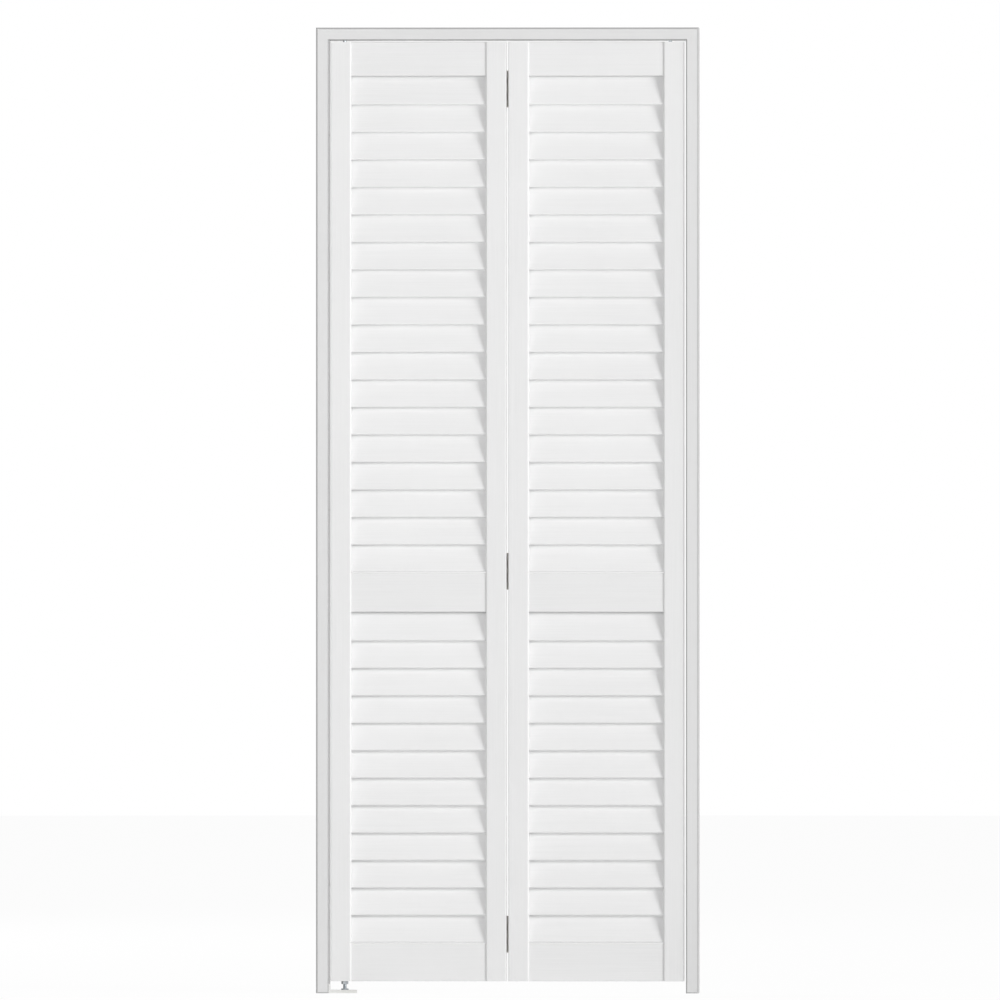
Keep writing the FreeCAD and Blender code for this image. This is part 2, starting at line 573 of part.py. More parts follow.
def make_bottom_pivot():
    """The pin that stands in the bracket, its height nut, and the sleeve that turns on it."""
    x = -PIVOT_X
    shaft = upright_rod(PIN_RADIUS, x, LEAF_MIDDLE, BOTTOM_PIN_TIP_RISE, LEAF_BOTTOM + BOTTOM_PIN_REACH)
    collar = hexagon(COLLAR_FLATS, x, LEAF_MIDDLE, BRACKET_RISE, BRACKET_RISE + COLLAR_HEIGHT)
    save("bottom_pivot_pin", [shaft.fuse(collar).removeSplitter()])

    bore = upright_rod(PIN_RADIUS + DRIVEN_FIT, x, LEAF_MIDDLE, 0, LEAF_BOTTOM + CUT_OVERRUN)
    nut = hexagon(NUT_FLATS, x, LEAF_MIDDLE, LEAF_BOTTOM - NUT_HEIGHT, LEAF_BOTTOM)
    save("height_nut", [nut.cut(bore)])

    tube = upright_rod(SLEEVE_RADIUS, x, LEAF_MIDDLE, LEAF_BOTTOM, LEAF_BOTTOM + SLEEVE_LENGTH)
    flange = upright_rod(SLEEVE_FLANGE_RADIUS, x, LEAF_MIDDLE, LEAF_BOTTOM, LEAF_BOTTOM + SLEEVE_FLANGE_THICKNESS)
    hole = upright_rod(PIN_RADIUS + RUNNING_FIT, x, LEAF_MIDDLE, LEAF_BOTTOM - CUT_OVERRUN,
                       LEAF_BOTTOM + SLEEVE_LENGTH + CUT_OVERRUN)
    save("bottom_pivot_sleeve", [tube.fuse(flange).removeSplitter().cut(hole)])


# ---- Leaves ------------------------------------------------------------------------------------

def slat_banks():
    """Bottom and top of each bank of slats, as (name, bottom, top)."""
    return [("upper", LOCK_RAIL_TOP, TOP_RAIL_BOTTOM), ("lower", BOTTOM_RAIL_TOP, LOCK_RAIL_BOTTOM)]


def slat_noses(bottom, top):
    """Height of the lower edge of each slat in a bank."""
    count = round((top - bottom) / SLAT_PITCH)
    lowest = bottom + SLAT_RAIL_GAP
    highest = top + SLAT_LAP - SLAT_HEIGHT
    pitch = (highest - lowest) / (count - 1)
    return [lowest + step * pitch for step in range(count)]


def slat_section(nose, growth, x):
    """Cross-section of a slat in the plane at x: two flat faces joined by round edges. Growth
    is the clearance that is added all round."""
    radius = SLAT_RADIUS + growth
    low = VECTOR(x, LEAF_FRONT + SLAT_FRONT_RECESS + SLAT_RADIUS, nose + SLAT_RADIUS)
    high = low + VECTOR(0, SLAT_RUN, SLAT_RISE)
    along = (high - low).normalize()
    across = ALONG_X.cross(along)
    left_low = low + across * radius
    right_low = low - across * radius
    left_high = high + across * radius
    right_high = high - across * radius
    outline = [Part.Arc(right_low, low - along * radius, left_low).toShape(),
               Part.LineSegment(left_low, left_high).toShape(),
               Part.Arc(left_high, high + along * radius, right_high).toShape(),
               Part.LineSegment(right_high, right_low).toShape()]
    return Part.Face(Part.Wire(outline))


def dowel_heights(low, high):
    """Two dowels at the quarter points of the timber between low and high, or one half-way."""
    room = high - low
    if room / 2 < 2 * DOWEL_RADIUS + DOWEL_SPACE:
        return [(low + high) / 2]
    return [low + room / 4, high - room / 4]


def all_dowel_heights():
    """Dowel heights of the three rails, clear of the rebates and of the sleeves."""
    heights = dowel_heights(LEAF_BOTTOM + SLEEVE_LENGTH, BOTTOM_RAIL_TOP)
    heights += dowel_heights(LOCK_RAIL_BOTTOM + REBATE_HEIGHT, LOCK_RAIL_TOP)
    heights += dowel_heights(TOP_RAIL_BOTTOM + REBATE_HEIGHT, SLEEVE_BOTTOM)
    return heights


def dowel_places(side):
    """Middle of each dowel of one leaf, on the joints between its rails and stiles."""
    outer_joint = side * (LEAF_OUTER_EDGE - STILE_WIDTH)
    fold_joint = side * (LEAF_FOLD_EDGE + STILE_WIDTH)
    return [VECTOR(x, LEAF_MIDDLE, z) for x in (outer_joint, fold_joint) for z in all_dowel_heights()]


def dowel_holes(side):
    """Blind holes for the dowels of one leaf."""
    half = ALONG_X * (DOWEL_LENGTH / 2 + DOWEL_END_GAP)
    return [rod(DOWEL_RADIUS + DRIVEN_FIT, place - half, place + half) for place in dowel_places(side)]


def make_dowels(side):
    """The dowels of one leaf, with chamfered ends."""
    half = ALONG_X * DOWEL_LENGTH / 2
    dowels = []
    for place in dowel_places(side):
        dowel = rod(DOWEL_RADIUS, place - half, place + half)
        ends = [edge for edge in dowel.Edges if edge.BoundBox.XLength < DOWEL_CHAMFER]
        dowels.append(dowel.makeChamfer(DOWEL_CHAMFER, ends))
    return dowels


def slots(joint, into):
    """The slots for all slats, cut from the stile's face at joint, in the direction into."""
    cutters = []
    for name, bottom, top in slat_banks():
        for nose in slat_noses(bottom, top):
            face = slat_section(nose, SLOT_FIT, joint - into * CUT_OVERRUN)
            cutters.append(face.extrude(ALONG_X * into * (SLOT_DEPTH + CUT_OVERRUN)))
    return cutters


def stile(edge, joint):
    """An upright of a leaf, between its outer edge and the joint with the rails."""
    body = block((edge, joint), (LEAF_FRONT, LEAF_BACK), (LEAF_BOTTOM, LEAF_TOP))
    body = body.makeFillet(ARRIS_RADIUS, upright_edges_at(body, edge))
    body = body.makeFillet(STICKING_RADIUS, upright_edges_at(body, joint))
    into = 1 if edge > joint else -1
    return body.cut(slots(joint, into))


def rail(side, bottom, top, rebated):
    """A cross rail of a leaf, rebated where the top slat of a bank laps behind it."""
    span = (side * (LEAF_FOLD_EDGE + STILE_WIDTH), side * (LEAF_OUTER_EDGE - STILE_WIDTH))
    body = block(span, (RAIL_FRONT, RAIL_BACK), (bottom, top))
    body = rounded(body, ALONG_X, ARRIS_RADIUS)
    if rebated:
        rebate = block(span, (LEAF_BACK - REBATE_DEPTH, LEAF_BACK + CUT_OVERRUN),
                       (bottom - CUT_OVERRUN, bottom + REBATE_HEIGHT))
        body = body.cut(rebate)
    return body.cut(dowel_holes(side))


def slats(side, bottom, top):
    """One bank of slats, each let into both stiles."""
    reach = SLOT_DEPTH - SLOT_END_GAP
    start = side * (LEAF_FOLD_EDGE + STILE_WIDTH - reach)
    end = side * (LEAF_OUTER_EDGE - STILE_WIDTH + reach)
    low = min(start, end)
    length = abs(end - start)
    return [slat_section(nose, 0, low).extrude(ALONG_X * length) for nose in slat_noses(bottom, top)]


def top_sleeve_hole(side):
    """The stepped hole for the sleeve at the top of a leaf."""
    x = side * PIVOT_X
    bore = upright_rod(SLEEVE_RADIUS + DRIVEN_FIT, x, LEAF_MIDDLE, SLEEVE_BOTTOM, LEAF_TOP + CUT_OVERRUN)
    seat = upright_rod(SLEEVE_FLANGE_RADIUS + DRIVEN_FIT, x, LEAF_MIDDLE, LEAF_TOP - SLEEVE_FLANGE_THICKNESS,
                       LEAF_TOP + CUT_OVERRUN)
    return bore.fuse(seat)


def bottom_sleeve_hole():
    """The stepped hole for the sleeve at the bottom of the pivot leaf."""
    bore = upright_rod(SLEEVE_RADIUS + DRIVEN_FIT, -PIVOT_X, LEAF_MIDDLE, LEAF_BOTTOM - CUT_OVERRUN,
                       LEAF_BOTTOM + SLEEVE_LENGTH)
    seat = upright_rod(SLEEVE_FLANGE_RADIUS + DRIVEN_FIT, -PIVOT_X, LEAF_MIDDLE, LEAF_BOTTOM - CUT_OVERRUN,
                       LEAF_BOTTOM + SLEEVE_FLANGE_THICKNESS)
    return bore.fuse(seat)


def make_leaf(leaf, side):
    """Stiles, rails, slats and dowels of one leaf."""
    outer_joint = side * (LEAF_OUTER_EDGE - STILE_WIDTH)
    fold_joint = side * (LEAF_FOLD_EDGE + STILE_WIDTH)
    outer = stile(side * LEAF_OUTER_EDGE, outer_joint).cut(dowel_holes(side) + [top_sleeve_hole(side)])
    if side < 0:
        outer = outer.cut(bottom_sleeve_hole())
    inner = stile(side * LEAF_FOLD_EDGE, fold_joint).cut(dowel_holes(side) + hinge_screw_holes(side))
    save(leaf + "_outer_stile", outer.Solids)
    save(leaf + "_inner_stile", inner.Solids)

    save(leaf + "_top_rail", rail(side, TOP_RAIL_BOTTOM, LEAF_TOP, True).Solids)
    save(leaf + "_lock_rail", rail(side, LOCK_RAIL_BOTTOM, LOCK_RAIL_TOP, True).Solids)
    save(leaf + "_bottom_rail", rail(side, LEAF_BOTTOM, BOTTOM_RAIL_TOP, False).Solids)
    for name, bottom, top in slat_banks():
        save(leaf + "_" + name + "_slats", slats(side, bottom, top))
    save(leaf + "_dowels", make_dowels(side))


# ---- Hinges ------------------------------------------------------------------------------------

def hinge_middles():
    """Height of the middle of each hinge."""
    return [LEAF_BOTTOM + HINGE_END_DISTANCE, LEAF_BOTTOM + HINGE_MIDDLE_RISE, LEAF_TOP - HINGE_END_DISTANCE]


def hinge_screw_places(side):
    """Head point of each screw through one leaf's hinge plates."""
    places = []
    y = LEAF_BACK + HINGE_THICKNESS
    for middle in hinge_middles():
        rise = HINGE_HEIGHT / 2 - HINGE_SCREW_EDGE
        places.append(VECTOR(side * HINGE_SCREW_NEAR, y, middle - rise))
        places.append(VECTOR(side * HINGE_SCREW_FAR, y, middle))
        places.append(VECTOR(side * HINGE_SCREW_NEAR, y, middle + rise))
    return places


def hinge_screw_holes(side):
    """The holes for those screws, through the plates and into the stile."""
    sizes = (HINGE_SCREW_RADIUS, HINGE_SCREW_HEAD_RADIUS, HINGE_SCREW_LENGTH)
    return [sunk_hole(point, -ALONG_Y, *sizes) for point in hinge_screw_places(side)]


def hinge_plate(side, middle):
    """One half of a hinge: a plate on the back of the leaf, with every other knuckle rolled on it."""
    bottom = middle - HINGE_HEIGHT / 2
    top = middle + HINGE_HEIGHT / 2
    thickness = (LEAF_BACK, LEAF_BACK + HINGE_THICKNESS)
    clear = KNUCKLE_RADIUS + HINGE_KNUCKLE_GAP
    plate = block((side * clear, side * HINGE_PLATE_WIDTH), thickness, (bottom, top))
    outer = [edge for edge in edges_along(plate, ALONG_Y) if abs(edge.BoundBox.XMax) > clear + 1]
    plate = plate.makeFillet(HINGE_CORNER_RADIUS, outer)
    pitch = (HINGE_HEIGHT + HINGE_KNUCKLE_GAP) / HINGE_KNUCKLES
    knuckles = []
    for step in range(HINGE_KNUCKLES):
        if (step % 2 == 0) == (side < 0):
            low = bottom + step * pitch
            high = low + pitch - HINGE_KNUCKLE_GAP
            knuckles.append(block((0, side * clear), thickness, (low, high)))
            knuckles.append(upright_rod(KNUCKLE_RADIUS, 0, HINGE_AXIS_Y, low, high))
    bore = upright_rod(HINGE_BORE_RADIUS, 0, HINGE_AXIS_Y, bottom - CUT_OVERRUN, top + CUT_OVERRUN)
    return plate.fuse(knuckles).cut([bore] + hinge_screw_holes(side)).removeSplitter()


def hinge_pin(middle):
    """A hinge pin with a head at its top, held by a matching head at its foot."""
    bottom = middle - HINGE_HEIGHT / 2
    top = middle + HINGE_HEIGHT / 2
    shaft = upright_rod(HINGE_BORE_RADIUS - RUNNING_FIT, 0, HINGE_AXIS_Y, bottom - HINGE_PIN_HEAD_HEIGHT,
                        top + HINGE_PIN_HEAD_HEIGHT)
    upper = upright_rod(HINGE_PIN_HEAD_RADIUS, 0, HINGE_AXIS_Y, top, top + HINGE_PIN_HEAD_HEIGHT)
    lower = upright_rod(HINGE_PIN_HEAD_RADIUS, 0, HINGE_AXIS_Y, bottom - HINGE_PIN_HEAD_HEIGHT, bottom)
    return shaft.fuse([upper, lower]).removeSplitter()


def make_hinges():
    """Plates and screws for both leaves, and the pins."""
    sizes = (HINGE_SCREW_RADIUS, HINGE_SCREW_HEAD_RADIUS, HINGE_SCREW_LENGTH)
    for leaf, side in (("pivot_leaf", -1), ("lead_leaf", 1)):
        save(leaf + "_hinge_plates", [hinge_plate(side, middle) for middle in hinge_middles()])
        save(leaf + "_hinge_screws",
             [sunk_screw(point, -ALONG_Y, *sizes) for point in hinge_screw_places(side)])
    save("hinge_pins", [hinge_pin(middle) for middle in hinge_middles()])


make_frame()
make_track()
make_top_pivot_bracket()
make_top_pivot()
make_guide()
make_bottom_bracket()
make_bottom_pivot()
make_leaf("pivot_leaf", -1)
make_leaf("lead_leaf", 1)
make_hinges()
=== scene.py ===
import math

import bmesh
import bpy
import numpy as np
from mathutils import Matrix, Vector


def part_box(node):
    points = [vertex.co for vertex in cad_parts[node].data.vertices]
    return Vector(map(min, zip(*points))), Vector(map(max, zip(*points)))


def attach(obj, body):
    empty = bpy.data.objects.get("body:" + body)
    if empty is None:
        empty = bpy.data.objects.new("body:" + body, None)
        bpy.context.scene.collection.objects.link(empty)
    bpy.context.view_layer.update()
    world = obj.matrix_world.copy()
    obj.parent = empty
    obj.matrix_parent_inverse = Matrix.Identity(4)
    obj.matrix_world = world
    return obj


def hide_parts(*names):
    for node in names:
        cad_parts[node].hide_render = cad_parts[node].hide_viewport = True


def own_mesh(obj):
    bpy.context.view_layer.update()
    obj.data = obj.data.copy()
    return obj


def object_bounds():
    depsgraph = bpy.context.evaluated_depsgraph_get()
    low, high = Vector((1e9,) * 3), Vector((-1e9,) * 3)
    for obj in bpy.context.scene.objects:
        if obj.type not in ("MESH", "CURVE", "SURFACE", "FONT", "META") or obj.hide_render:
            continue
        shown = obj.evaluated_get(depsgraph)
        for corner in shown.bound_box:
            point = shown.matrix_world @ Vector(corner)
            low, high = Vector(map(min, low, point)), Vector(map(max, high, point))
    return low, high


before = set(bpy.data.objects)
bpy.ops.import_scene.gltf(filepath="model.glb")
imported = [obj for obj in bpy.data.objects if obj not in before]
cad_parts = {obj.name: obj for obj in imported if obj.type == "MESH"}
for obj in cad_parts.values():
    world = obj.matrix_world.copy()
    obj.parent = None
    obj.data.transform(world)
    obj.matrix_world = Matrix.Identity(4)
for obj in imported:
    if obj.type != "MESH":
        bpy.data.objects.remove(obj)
cad_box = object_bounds()
MM = 0.001


# ---- Side jambs and head -------------------------------------------------------------------------
# Three planed softwood boards, housed, glued and screwed together at the top corners, then sprayed
# with a pale grey satin paint. A darker grey is painted as shade on the chamfers along the edges and
# in a thin line just above the floor. The outer faces, which go against the wall, take a grey primer
# tone that laps round onto the face as a thin line of painted shade outlining the frame.

FRAME_PAINT = ("#E2E2E2", "#DEDEDE")
# Painted shade tone for the chamfers and the line above the floor.
FRAME_EDGE_SHADE_TONE = "#B4B4B4"
# Primer tone on the outer faces, which also serves as painted shade along the frame's outline.
FRAME_PRIMER_OUTLINE_SHADE = "#BDBDBD"
OUTLINE_SHADE_LAP = 3.6 * MM
FOOT_SHADE_HEIGHT = 3.0 * MM
FOOT_SHADE_FULL = 0.6 * FOOT_SHADE_HEIGHT
CHAMFER_LEAN = math.sqrt(0.5)
CHAMFER_SPAN = (0.15, 0.05)
GRAIN_WIDTH = 2.4 * MM
GRAIN_LENGTH = 170 * MM
GRAIN_RELIEF = 0.05 * MM
SPRAY_PEEL = 1.8 * MM
SPRAY_RELIEF = 0.02 * MM
PATCH_SIZE = 260 * MM
PATCH_SPAN = (0.12, 0.40)
NOISE_SPAN = (0.3, 0.7)  # where nearly all values of a noise lie
SATIN_ROUGHNESS = (0.40, 0.48)
SATIN_SPECULAR = 0.35


def linear(code):
    """An sRGB hex colour as linear red, green, blue and alpha: each channel c becomes c / 12.92 below
    0.04045, and ((c + 0.055) / 1.055) to the power 2.4 above it."""
    channels = [int(code[start:start + 2], 16) / 255 for start in (1, 3, 5)]
    return [c / 12.92 if c <= 0.04045 else ((c + 0.055) / 1.055) ** 2.4 for c in channels] + [1.0]


def add_node(tree, kind, inputs=None, **settings):
    """Add one shader node. Inputs gives each socket its value, or the socket that feeds it."""
    node = tree.nodes.new("ShaderNode" + kind)
    for name, value in settings.items():
        setattr(node, name, value)
    for name, value in (inputs or {}).items():
        if isinstance(value, bpy.types.NodeSocket):
            tree.links.new(value, node.inputs[name])
        else:
            node.inputs[name].default_value = value
    return node


def new_material(name, **sockets):
    """A material with its tree, its shader and its Object coordinates. Sockets are uniform values."""
    material = bpy.data.materials.new(name)
    material.use_nodes = True
    tree = material.node_tree
    shader = tree.nodes["Principled BSDF"]
    for socket, value in sockets.items():
        shader.inputs[socket.replace("_", " ")].default_value = value
    return material, tree, shader, add_node(tree, "TexCoord").outputs["Object"]


def streaks(tree, place, width, length, axis, detail, roughness=0.5):
    """A pattern of lines: noise of one width, stretched to a length along one axis."""
    density = [1 / width] * 3
    density[axis] = 1 / length
    along = add_node(tree, "Mapping", {"Vector": place, "Scale": density}).outputs["Vector"]
    noise = {"Vector": along, "Scale": 1.0, "Detail": detail, "Roughness": roughness}
    return add_node(tree, "TexNoise", noise).outputs["Fac"]


def tinted(tree, pattern, tones, span=None):
    """A colour that goes from one tone to another as a pattern goes from 0 to 1, or through a span.
    Each tone is a hex code, or the socket of another colour."""
    if span:
        inputs = {"Value": pattern, "From Min": span[0], "From Max": span[1]}
        pattern = add_node(tree, "MapRange", inputs).outputs["Result"]
    first, second = (linear(tone) if isinstance(tone, str) else tone for tone in tones)
    mix = add_node(tree, "Mix", {0: pattern, 6: first, 7: second}, data_type="RGBA")
    return mix.outputs[2]


def glossed(tree, shader, pattern, roughness):
    """A gloss that sways between two roughnesses with a pattern of noise."""
    sway = add_node(tree, "MapRange", {"Value": pattern, "From Min": NOISE_SPAN[0], "From Max": NOISE_SPAN[1],
                                       "To Min": roughness[0], "To Max": roughness[1]})
    tree.links.new(sway.outputs["Result"], shader.inputs["Roughness"])


def paint_film(tree, shader, place, grain_axis, tones, peel, peel_relief):
    """Satin paint over softwood gives a soft, even sheen. The grain's lines stand up through it, the
    film has a fine ripple of its own, and it is a little duller in slow patches where it is thin."""
    grain = streaks(tree, place, GRAIN_WIDTH, GRAIN_LENGTH, grain_axis, 3.0, 0.55)
    film = add_node(tree, "TexNoise", {"Vector": place, "Scale": 1 / peel, "Detail": 2.0}).outputs["Fac"]
    patch = add_node(tree, "TexNoise", {"Vector": place, "Scale": 1 / PATCH_SIZE, "Detail": 3.0})
    thin = add_node(tree, "Math", {0: grain, 1: patch.outputs["Fac"]}, operation="MULTIPLY").outputs[0]
    ripple = add_node(tree, "Bump", {"Height": film, "Distance": peel_relief}).outputs["Normal"]
    lines = add_node(tree, "Bump", {"Height": grain, "Distance": GRAIN_RELIEF, "Normal": ripple})
    glossed(tree, shader, film, SATIN_ROUGHNESS)
    tree.links.new(lines.outputs["Normal"], shader.inputs["Normal"])
    return tinted(tree, thin, tones, PATCH_SPAN)


def frame_paint(name, grain_axis):
    """The frame's paint. Chamfered faces, whose normals lean half-way to the side, are painted darker as
    shade, and so are the last millimetres above the floor, as a painted shade line. A grey primer tone
    takes over within its lap of the frame's outline, as painted shade along the outer edges."""
    material, tree, shader, place = new_material(name, Specular_IOR_Level=SATIN_SPECULAR)
    colour = paint_film(tree, shader, place, grain_axis, FRAME_PAINT, SPRAY_PEEL, SPRAY_RELIEF)
    # Painted shade on the chamfers: faces whose normals lean half-way to the side are found here.
    normal = add_node(tree, "SeparateXYZ", {0: tree.nodes["Texture Coordinate"].outputs["Normal"]})
    lean = add_node(tree, "Math", {0: normal.outputs["Y"]}, operation="ABSOLUTE").outputs[0]
    off = add_node(tree, "Math", {0: lean, 1: CHAMFER_LEAN}, operation="SUBTRACT").outputs[0]
    away = add_node(tree, "Math", {0: off}, operation="ABSOLUTE").outputs[0]
    chamfer_shade = add_node(tree, "MapRange", {"Value": away, "From Min": CHAMFER_SPAN[0],
                                          "From Max": CHAMFER_SPAN[1]})
    # Painted shade in a thin line just above the floor.
    spot = add_node(tree, "SeparateXYZ", {0: place})
    foot = add_node(tree, "MapRange", {"Value": spot.outputs["Z"], "From Min": FOOT_SHADE_HEIGHT,
                                       "From Max": FOOT_SHADE_FULL})
    painted_edge_shade = add_node(tree, "Math", {0: chamfer_shade.outputs["Result"], 1: foot.outputs["Result"]},
                    operation="MAXIMUM")
    # The chamfers and the foot line take the darker painted shade tone.
    colour = tinted(tree, painted_edge_shade.outputs[0], (colour, FRAME_EDGE_SHADE_TONE))
    # Painted shade outlining the frame: a grey primer tone on the outer faces and the outer millimetres of
    # the front.
    side = add_node(tree, "Math", {0: spot.outputs["X"]}, operation="ABSOLUTE").outputs[0]
    at_side = add_node(tree, "Math", {0: side, 1: cad_box[1].x - OUTLINE_SHADE_LAP}, operation="GREATER_THAN")
    at_top = add_node(tree, "Math", {0: spot.outputs["Z"], 1: cad_box[1].z - OUTLINE_SHADE_LAP},
                      operation="GREATER_THAN")
    primer_outline_shade = add_node(tree, "Math", {0: at_side.outputs[0], 1: at_top.outputs[0]}, operation="MAXIMUM")
    colour = tinted(tree, primer_outline_shade.outputs[0], (colour, FRAME_PRIMER_OUTLINE_SHADE))
    tree.links.new(colour, shader.inputs["Base Color"])
    return material


def finish_node(name, material):
    """Give a CAD node that stays in view its material."""
    for place in range(len(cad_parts[name].data.materials)):
        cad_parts[name].data.materials[place] = material


upright_frame_paint = frame_paint("sprayed_satin_paint_on_pine_jamb", 2)
head_frame_paint = frame_paint("sprayed_satin_paint_on_pine_head", 0)
finish_node("left_jamb", upright_frame_paint)
finish_node("right_jamb", upright_frame_paint)
finish_node("head_jamb", head_frame_paint)


# ---- Stiles --------------------------------------------------------------------------------------
# The uprights of each leaf: planed pine, 44 by 28.6 mm, with the arris eased by 2 mm on the edge
# away from the slats and by 3.5 mm on the edge that meets them, brushed with white satin paint.

DOOR_PAINT = ("#ECECEC", "#E8E8E8")
BRUSH_PEEL = 2.6 * MM
BRUSH_RELIEF = 0.03 * MM
OUTER_ARRIS = 2.0 * MM
SLAT_SIDE_ARRIS = 3.5 * MM
END_ARRIS = 0.6 * MM
SEAT_RADIUS = 9.05 * MM
SEAT_DEPTH = 1.5 * MM
SHARP_ANGLE = math.radians(35)


def door_paint(name, grain_axis, tones):
    """White satin paint on the leaves. The brush's marks are drawn somewhat wider than bristles leave
    them, so that they show."""
    material, tree, shader, place = new_material(name, Specular_IOR_Level=SATIN_SPECULAR)
    colour = paint_film(tree, shader, place, grain_axis, tones, BRUSH_PEEL, BRUSH_RELIEF)
    tree.links.new(colour, shader.inputs["Base Color"])
    return material


def rounded_outline(low, high, radii, inset, turns=6, sides=1):
    """Loop round a rectangle with round corners, moved inwards by an inset. Corner k is an arc of its
    radius less the inset, turned k quarters on from the last, about the corner's own centre; each
    side between two arcs is divided evenly."""
    low, high = np.asarray(low, float), np.asarray(high, float)
    signs = np.array([[1, 1], [-1, 1], [-1, -1], [1, -1]])
    reach = np.maximum(np.asarray(radii, float), inset + 1e-6)[:, None]
    centres = np.where(signs > 0, high, low) - signs * reach
    angle = np.linspace(0, math.pi / 2, turns) + np.arange(4)[:, None] * math.pi / 2
    arc = np.stack([np.cos(angle), np.sin(angle)], axis=2)
    corners = centres[:, None] + arc * (reach - inset)[:, None]
    share = (np.arange(1, sides) / sides)[None, :, None]
    after = np.roll(corners[:, 0], -1, axis=0)[:, None]
    runs = corners[:, -1:] * (1 - share) + after * share
    return np.concatenate([corners, runs], axis=1).reshape(-1, 2)


def stacked(outlines, heights, axis):
    """Plane loops set at heights along an axis: (u, v) with h becomes (u, v, h) along Z, (h, u, v)
    along X and (u, h, v) along Y."""
    height = np.broadcast_to(np.reshape(heights, (-1, 1, 1)), outlines.shape[:2] + (1,))
    rings = np.concatenate([outlines, height], axis=2)
    return rings[:, :, {0: [2, 0, 1], 1: [0, 2, 1], 2: [0, 1, 2]}[axis]]


def skin(rings):
    """Vertices and faces of a closed body through a stack of rings: quads between ring i and i + 1,
    and one flat face over the first ring and one over the last."""
    count, around = rings.shape[:2]
    ring = np.arange(count - 1)[:, None] * around
    step = np.arange(around)[None]
    ahead = (step + 1) % around
    quads = np.stack([ring + step, ring + ahead, ring + around + ahead, ring + around + step], axis=2)
    last = (count - 1) * around
    faces = quads.reshape(-1, 4).tolist() + [list(range(around))[::-1], list(range(last, last + around))]
    return rings.reshape(-1, 3), faces


def joined(parts):
    """Several (vertices, faces) bodies as one."""
    vertices, faces, start = [], [], 0
    for points, polygons in parts:
        vertices.append(points)
        faces += [[index + start for index in polygon] for polygon in polygons]
        start += len(points)
    return np.concatenate(vertices), faces


def piece(name, shape, material, body, replaced=()):
    """Make a mesh from (vertices, faces), shade it smooth up to SHARP_ANGLE with flat faces kept flat,
    and put it on its body in place of its CAD nodes."""
    mesh = bpy.data.meshes.new(name)
    mesh.from_pydata(shape[0].tolist(), [], shape[1])
    work = bmesh.new()
    work.from_mesh(mesh)
    bmesh.ops.recalc_face_normals(work, faces=work.faces)
    work.to_mesh(mesh)
    work.free()
    mesh.shade_smooth()
    mesh.set_sharp_from_angle(angle=SHARP_ANGLE)
    mesh.materials.append(material)
    made = bpy.data.objects.new(name, mesh)
    bpy.context.scene.collection.objects.link(made)
    flats = made.modifiers.new("flat faces", "WEIGHTED_NORMAL")
    flats.keep_sharp = True
    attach(made, body)
    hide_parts(*replaced)
    return made


def bar_rings(low, high, axis, radii, arris, turns=6, sides=1):
    """Rings of a straight bar between two corners. Its long edges are arcs of the given radii. Near
    each end the outline draws in by arris * (1 - sin t) while it goes out by arris * (1 - cos t)."""
    plane = [other for other in (0, 1, 2) if other != axis]
    turn = np.linspace(0, math.pi / 2, 4)
    insets = arris * (1 - np.sin(turn))
    rises = arris * (1 - np.cos(turn))
    insets = np.concatenate([insets, insets[::-1]])
    heights = np.concatenate([low[axis] + rises, high[axis] - rises[::-1]])
    flat_low, flat_high = [low[k] for k in plane], [high[k] for k in plane]
    outlines = [rounded_outline(flat_low, flat_high, radii, inset, turns, sides) for inset in insets]
    return stacked(np.stack(outlines), heights, axis)


def sunk_seat(rings, centre, radius, depth, at_top):
    """Carry a bar's rings on into a round seat in its end: the last outline, then a circle with one
    point in line with each of the outline's, then the same circle at the seat's depth."""
    end = rings[-1] if at_top else rings[0]
    away = end[:, :2] - np.asarray(centre)
    circle = end.copy()
    circle[:, :2] = centre + away / np.linalg.norm(away, axis=1)[:, None] * radius
    floor = circle.copy()
    floor[:, 2] += -depth if at_top else depth
    seat = np.stack([circle, floor])
    return np.concatenate([rings, seat]) if at_top else np.concatenate([seat[::-1], rings])


stile_paint = door_paint("brushed_satin_paint_on_pine_stile", 2, DOOR_PAINT)
for leaf, side in (("pivot_leaf", -1), ("lead_leaf", 1)):
    for place in ("outer", "inner"):
        node = f"{leaf}_{place}_stile"
        low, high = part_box(node)
        slats_at_left = (side > 0) == (place == "outer")
        arrises = (SLAT_SIDE_ARRIS, OUTER_ARRIS)
        left, right = arrises if slats_at_left else arrises[::-1]
        rings = bar_rings(low, high, 2, (right, left, left, right), END_ARRIS, sides=8)
        if place == "outer":
            sleeve_low, sleeve_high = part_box({-1: "top_pivot_sleeve", 1: "guide_sleeve"}[side])
            middle = (sleeve_low + sleeve_high) / 2
            rings = sunk_seat(rings, middle[:2], SEAT_RADIUS, SEAT_DEPTH, True)
            if side < 0:
                rings = sunk_seat(rings, middle[:2], SEAT_RADIUS, SEAT_DEPTH, False)
        piece(f"{node}_timber", skin(rings), stile_paint, leaf, [node])


# ---- Rails ---------------------------------------------------------------------------------------
# Top, lock and bottom rail of each leaf: pine laid across, with its long edges eased by 2 mm. The top
# and lock rails are rebated behind, so that the uppermost slat of the bank below laps behind them.

RAIL_ARRIS = 2.0 * MM
SLAT_THICKNESS = 6.5 * MM
SLAT_TILT = math.radians(13.5)
REBATE_GAP = 0.5 * MM
rail_paint = door_paint("brushed_satin_paint_on_pine_rail", 0, DOOR_PAINT)


def rebated_outline(low, high, step_front, step_top, arris):
    """Loop round a rail's section: a quarter circle of the arris radius at its lower front, upper back
    and upper front corners, and a square step in place of its lower back corner."""
    turn = np.array([math.pi, 0, math.pi / 2])[:, None] + np.linspace(0, math.pi / 2, 6)
    centres = np.array([[low[0] + arris, low[1] + arris], [high[0] - arris, high[1] - arris],
                        [low[0] + arris, high[1] - arris]])
    front, back, upper = centres[:, None] + arris * np.stack([np.cos(turn), np.sin(turn)], axis=2)
    step = np.array([[step_front, low[1]], [step_front, step_top], [high[0], step_top]])
    return np.concatenate([front, step, back, upper])


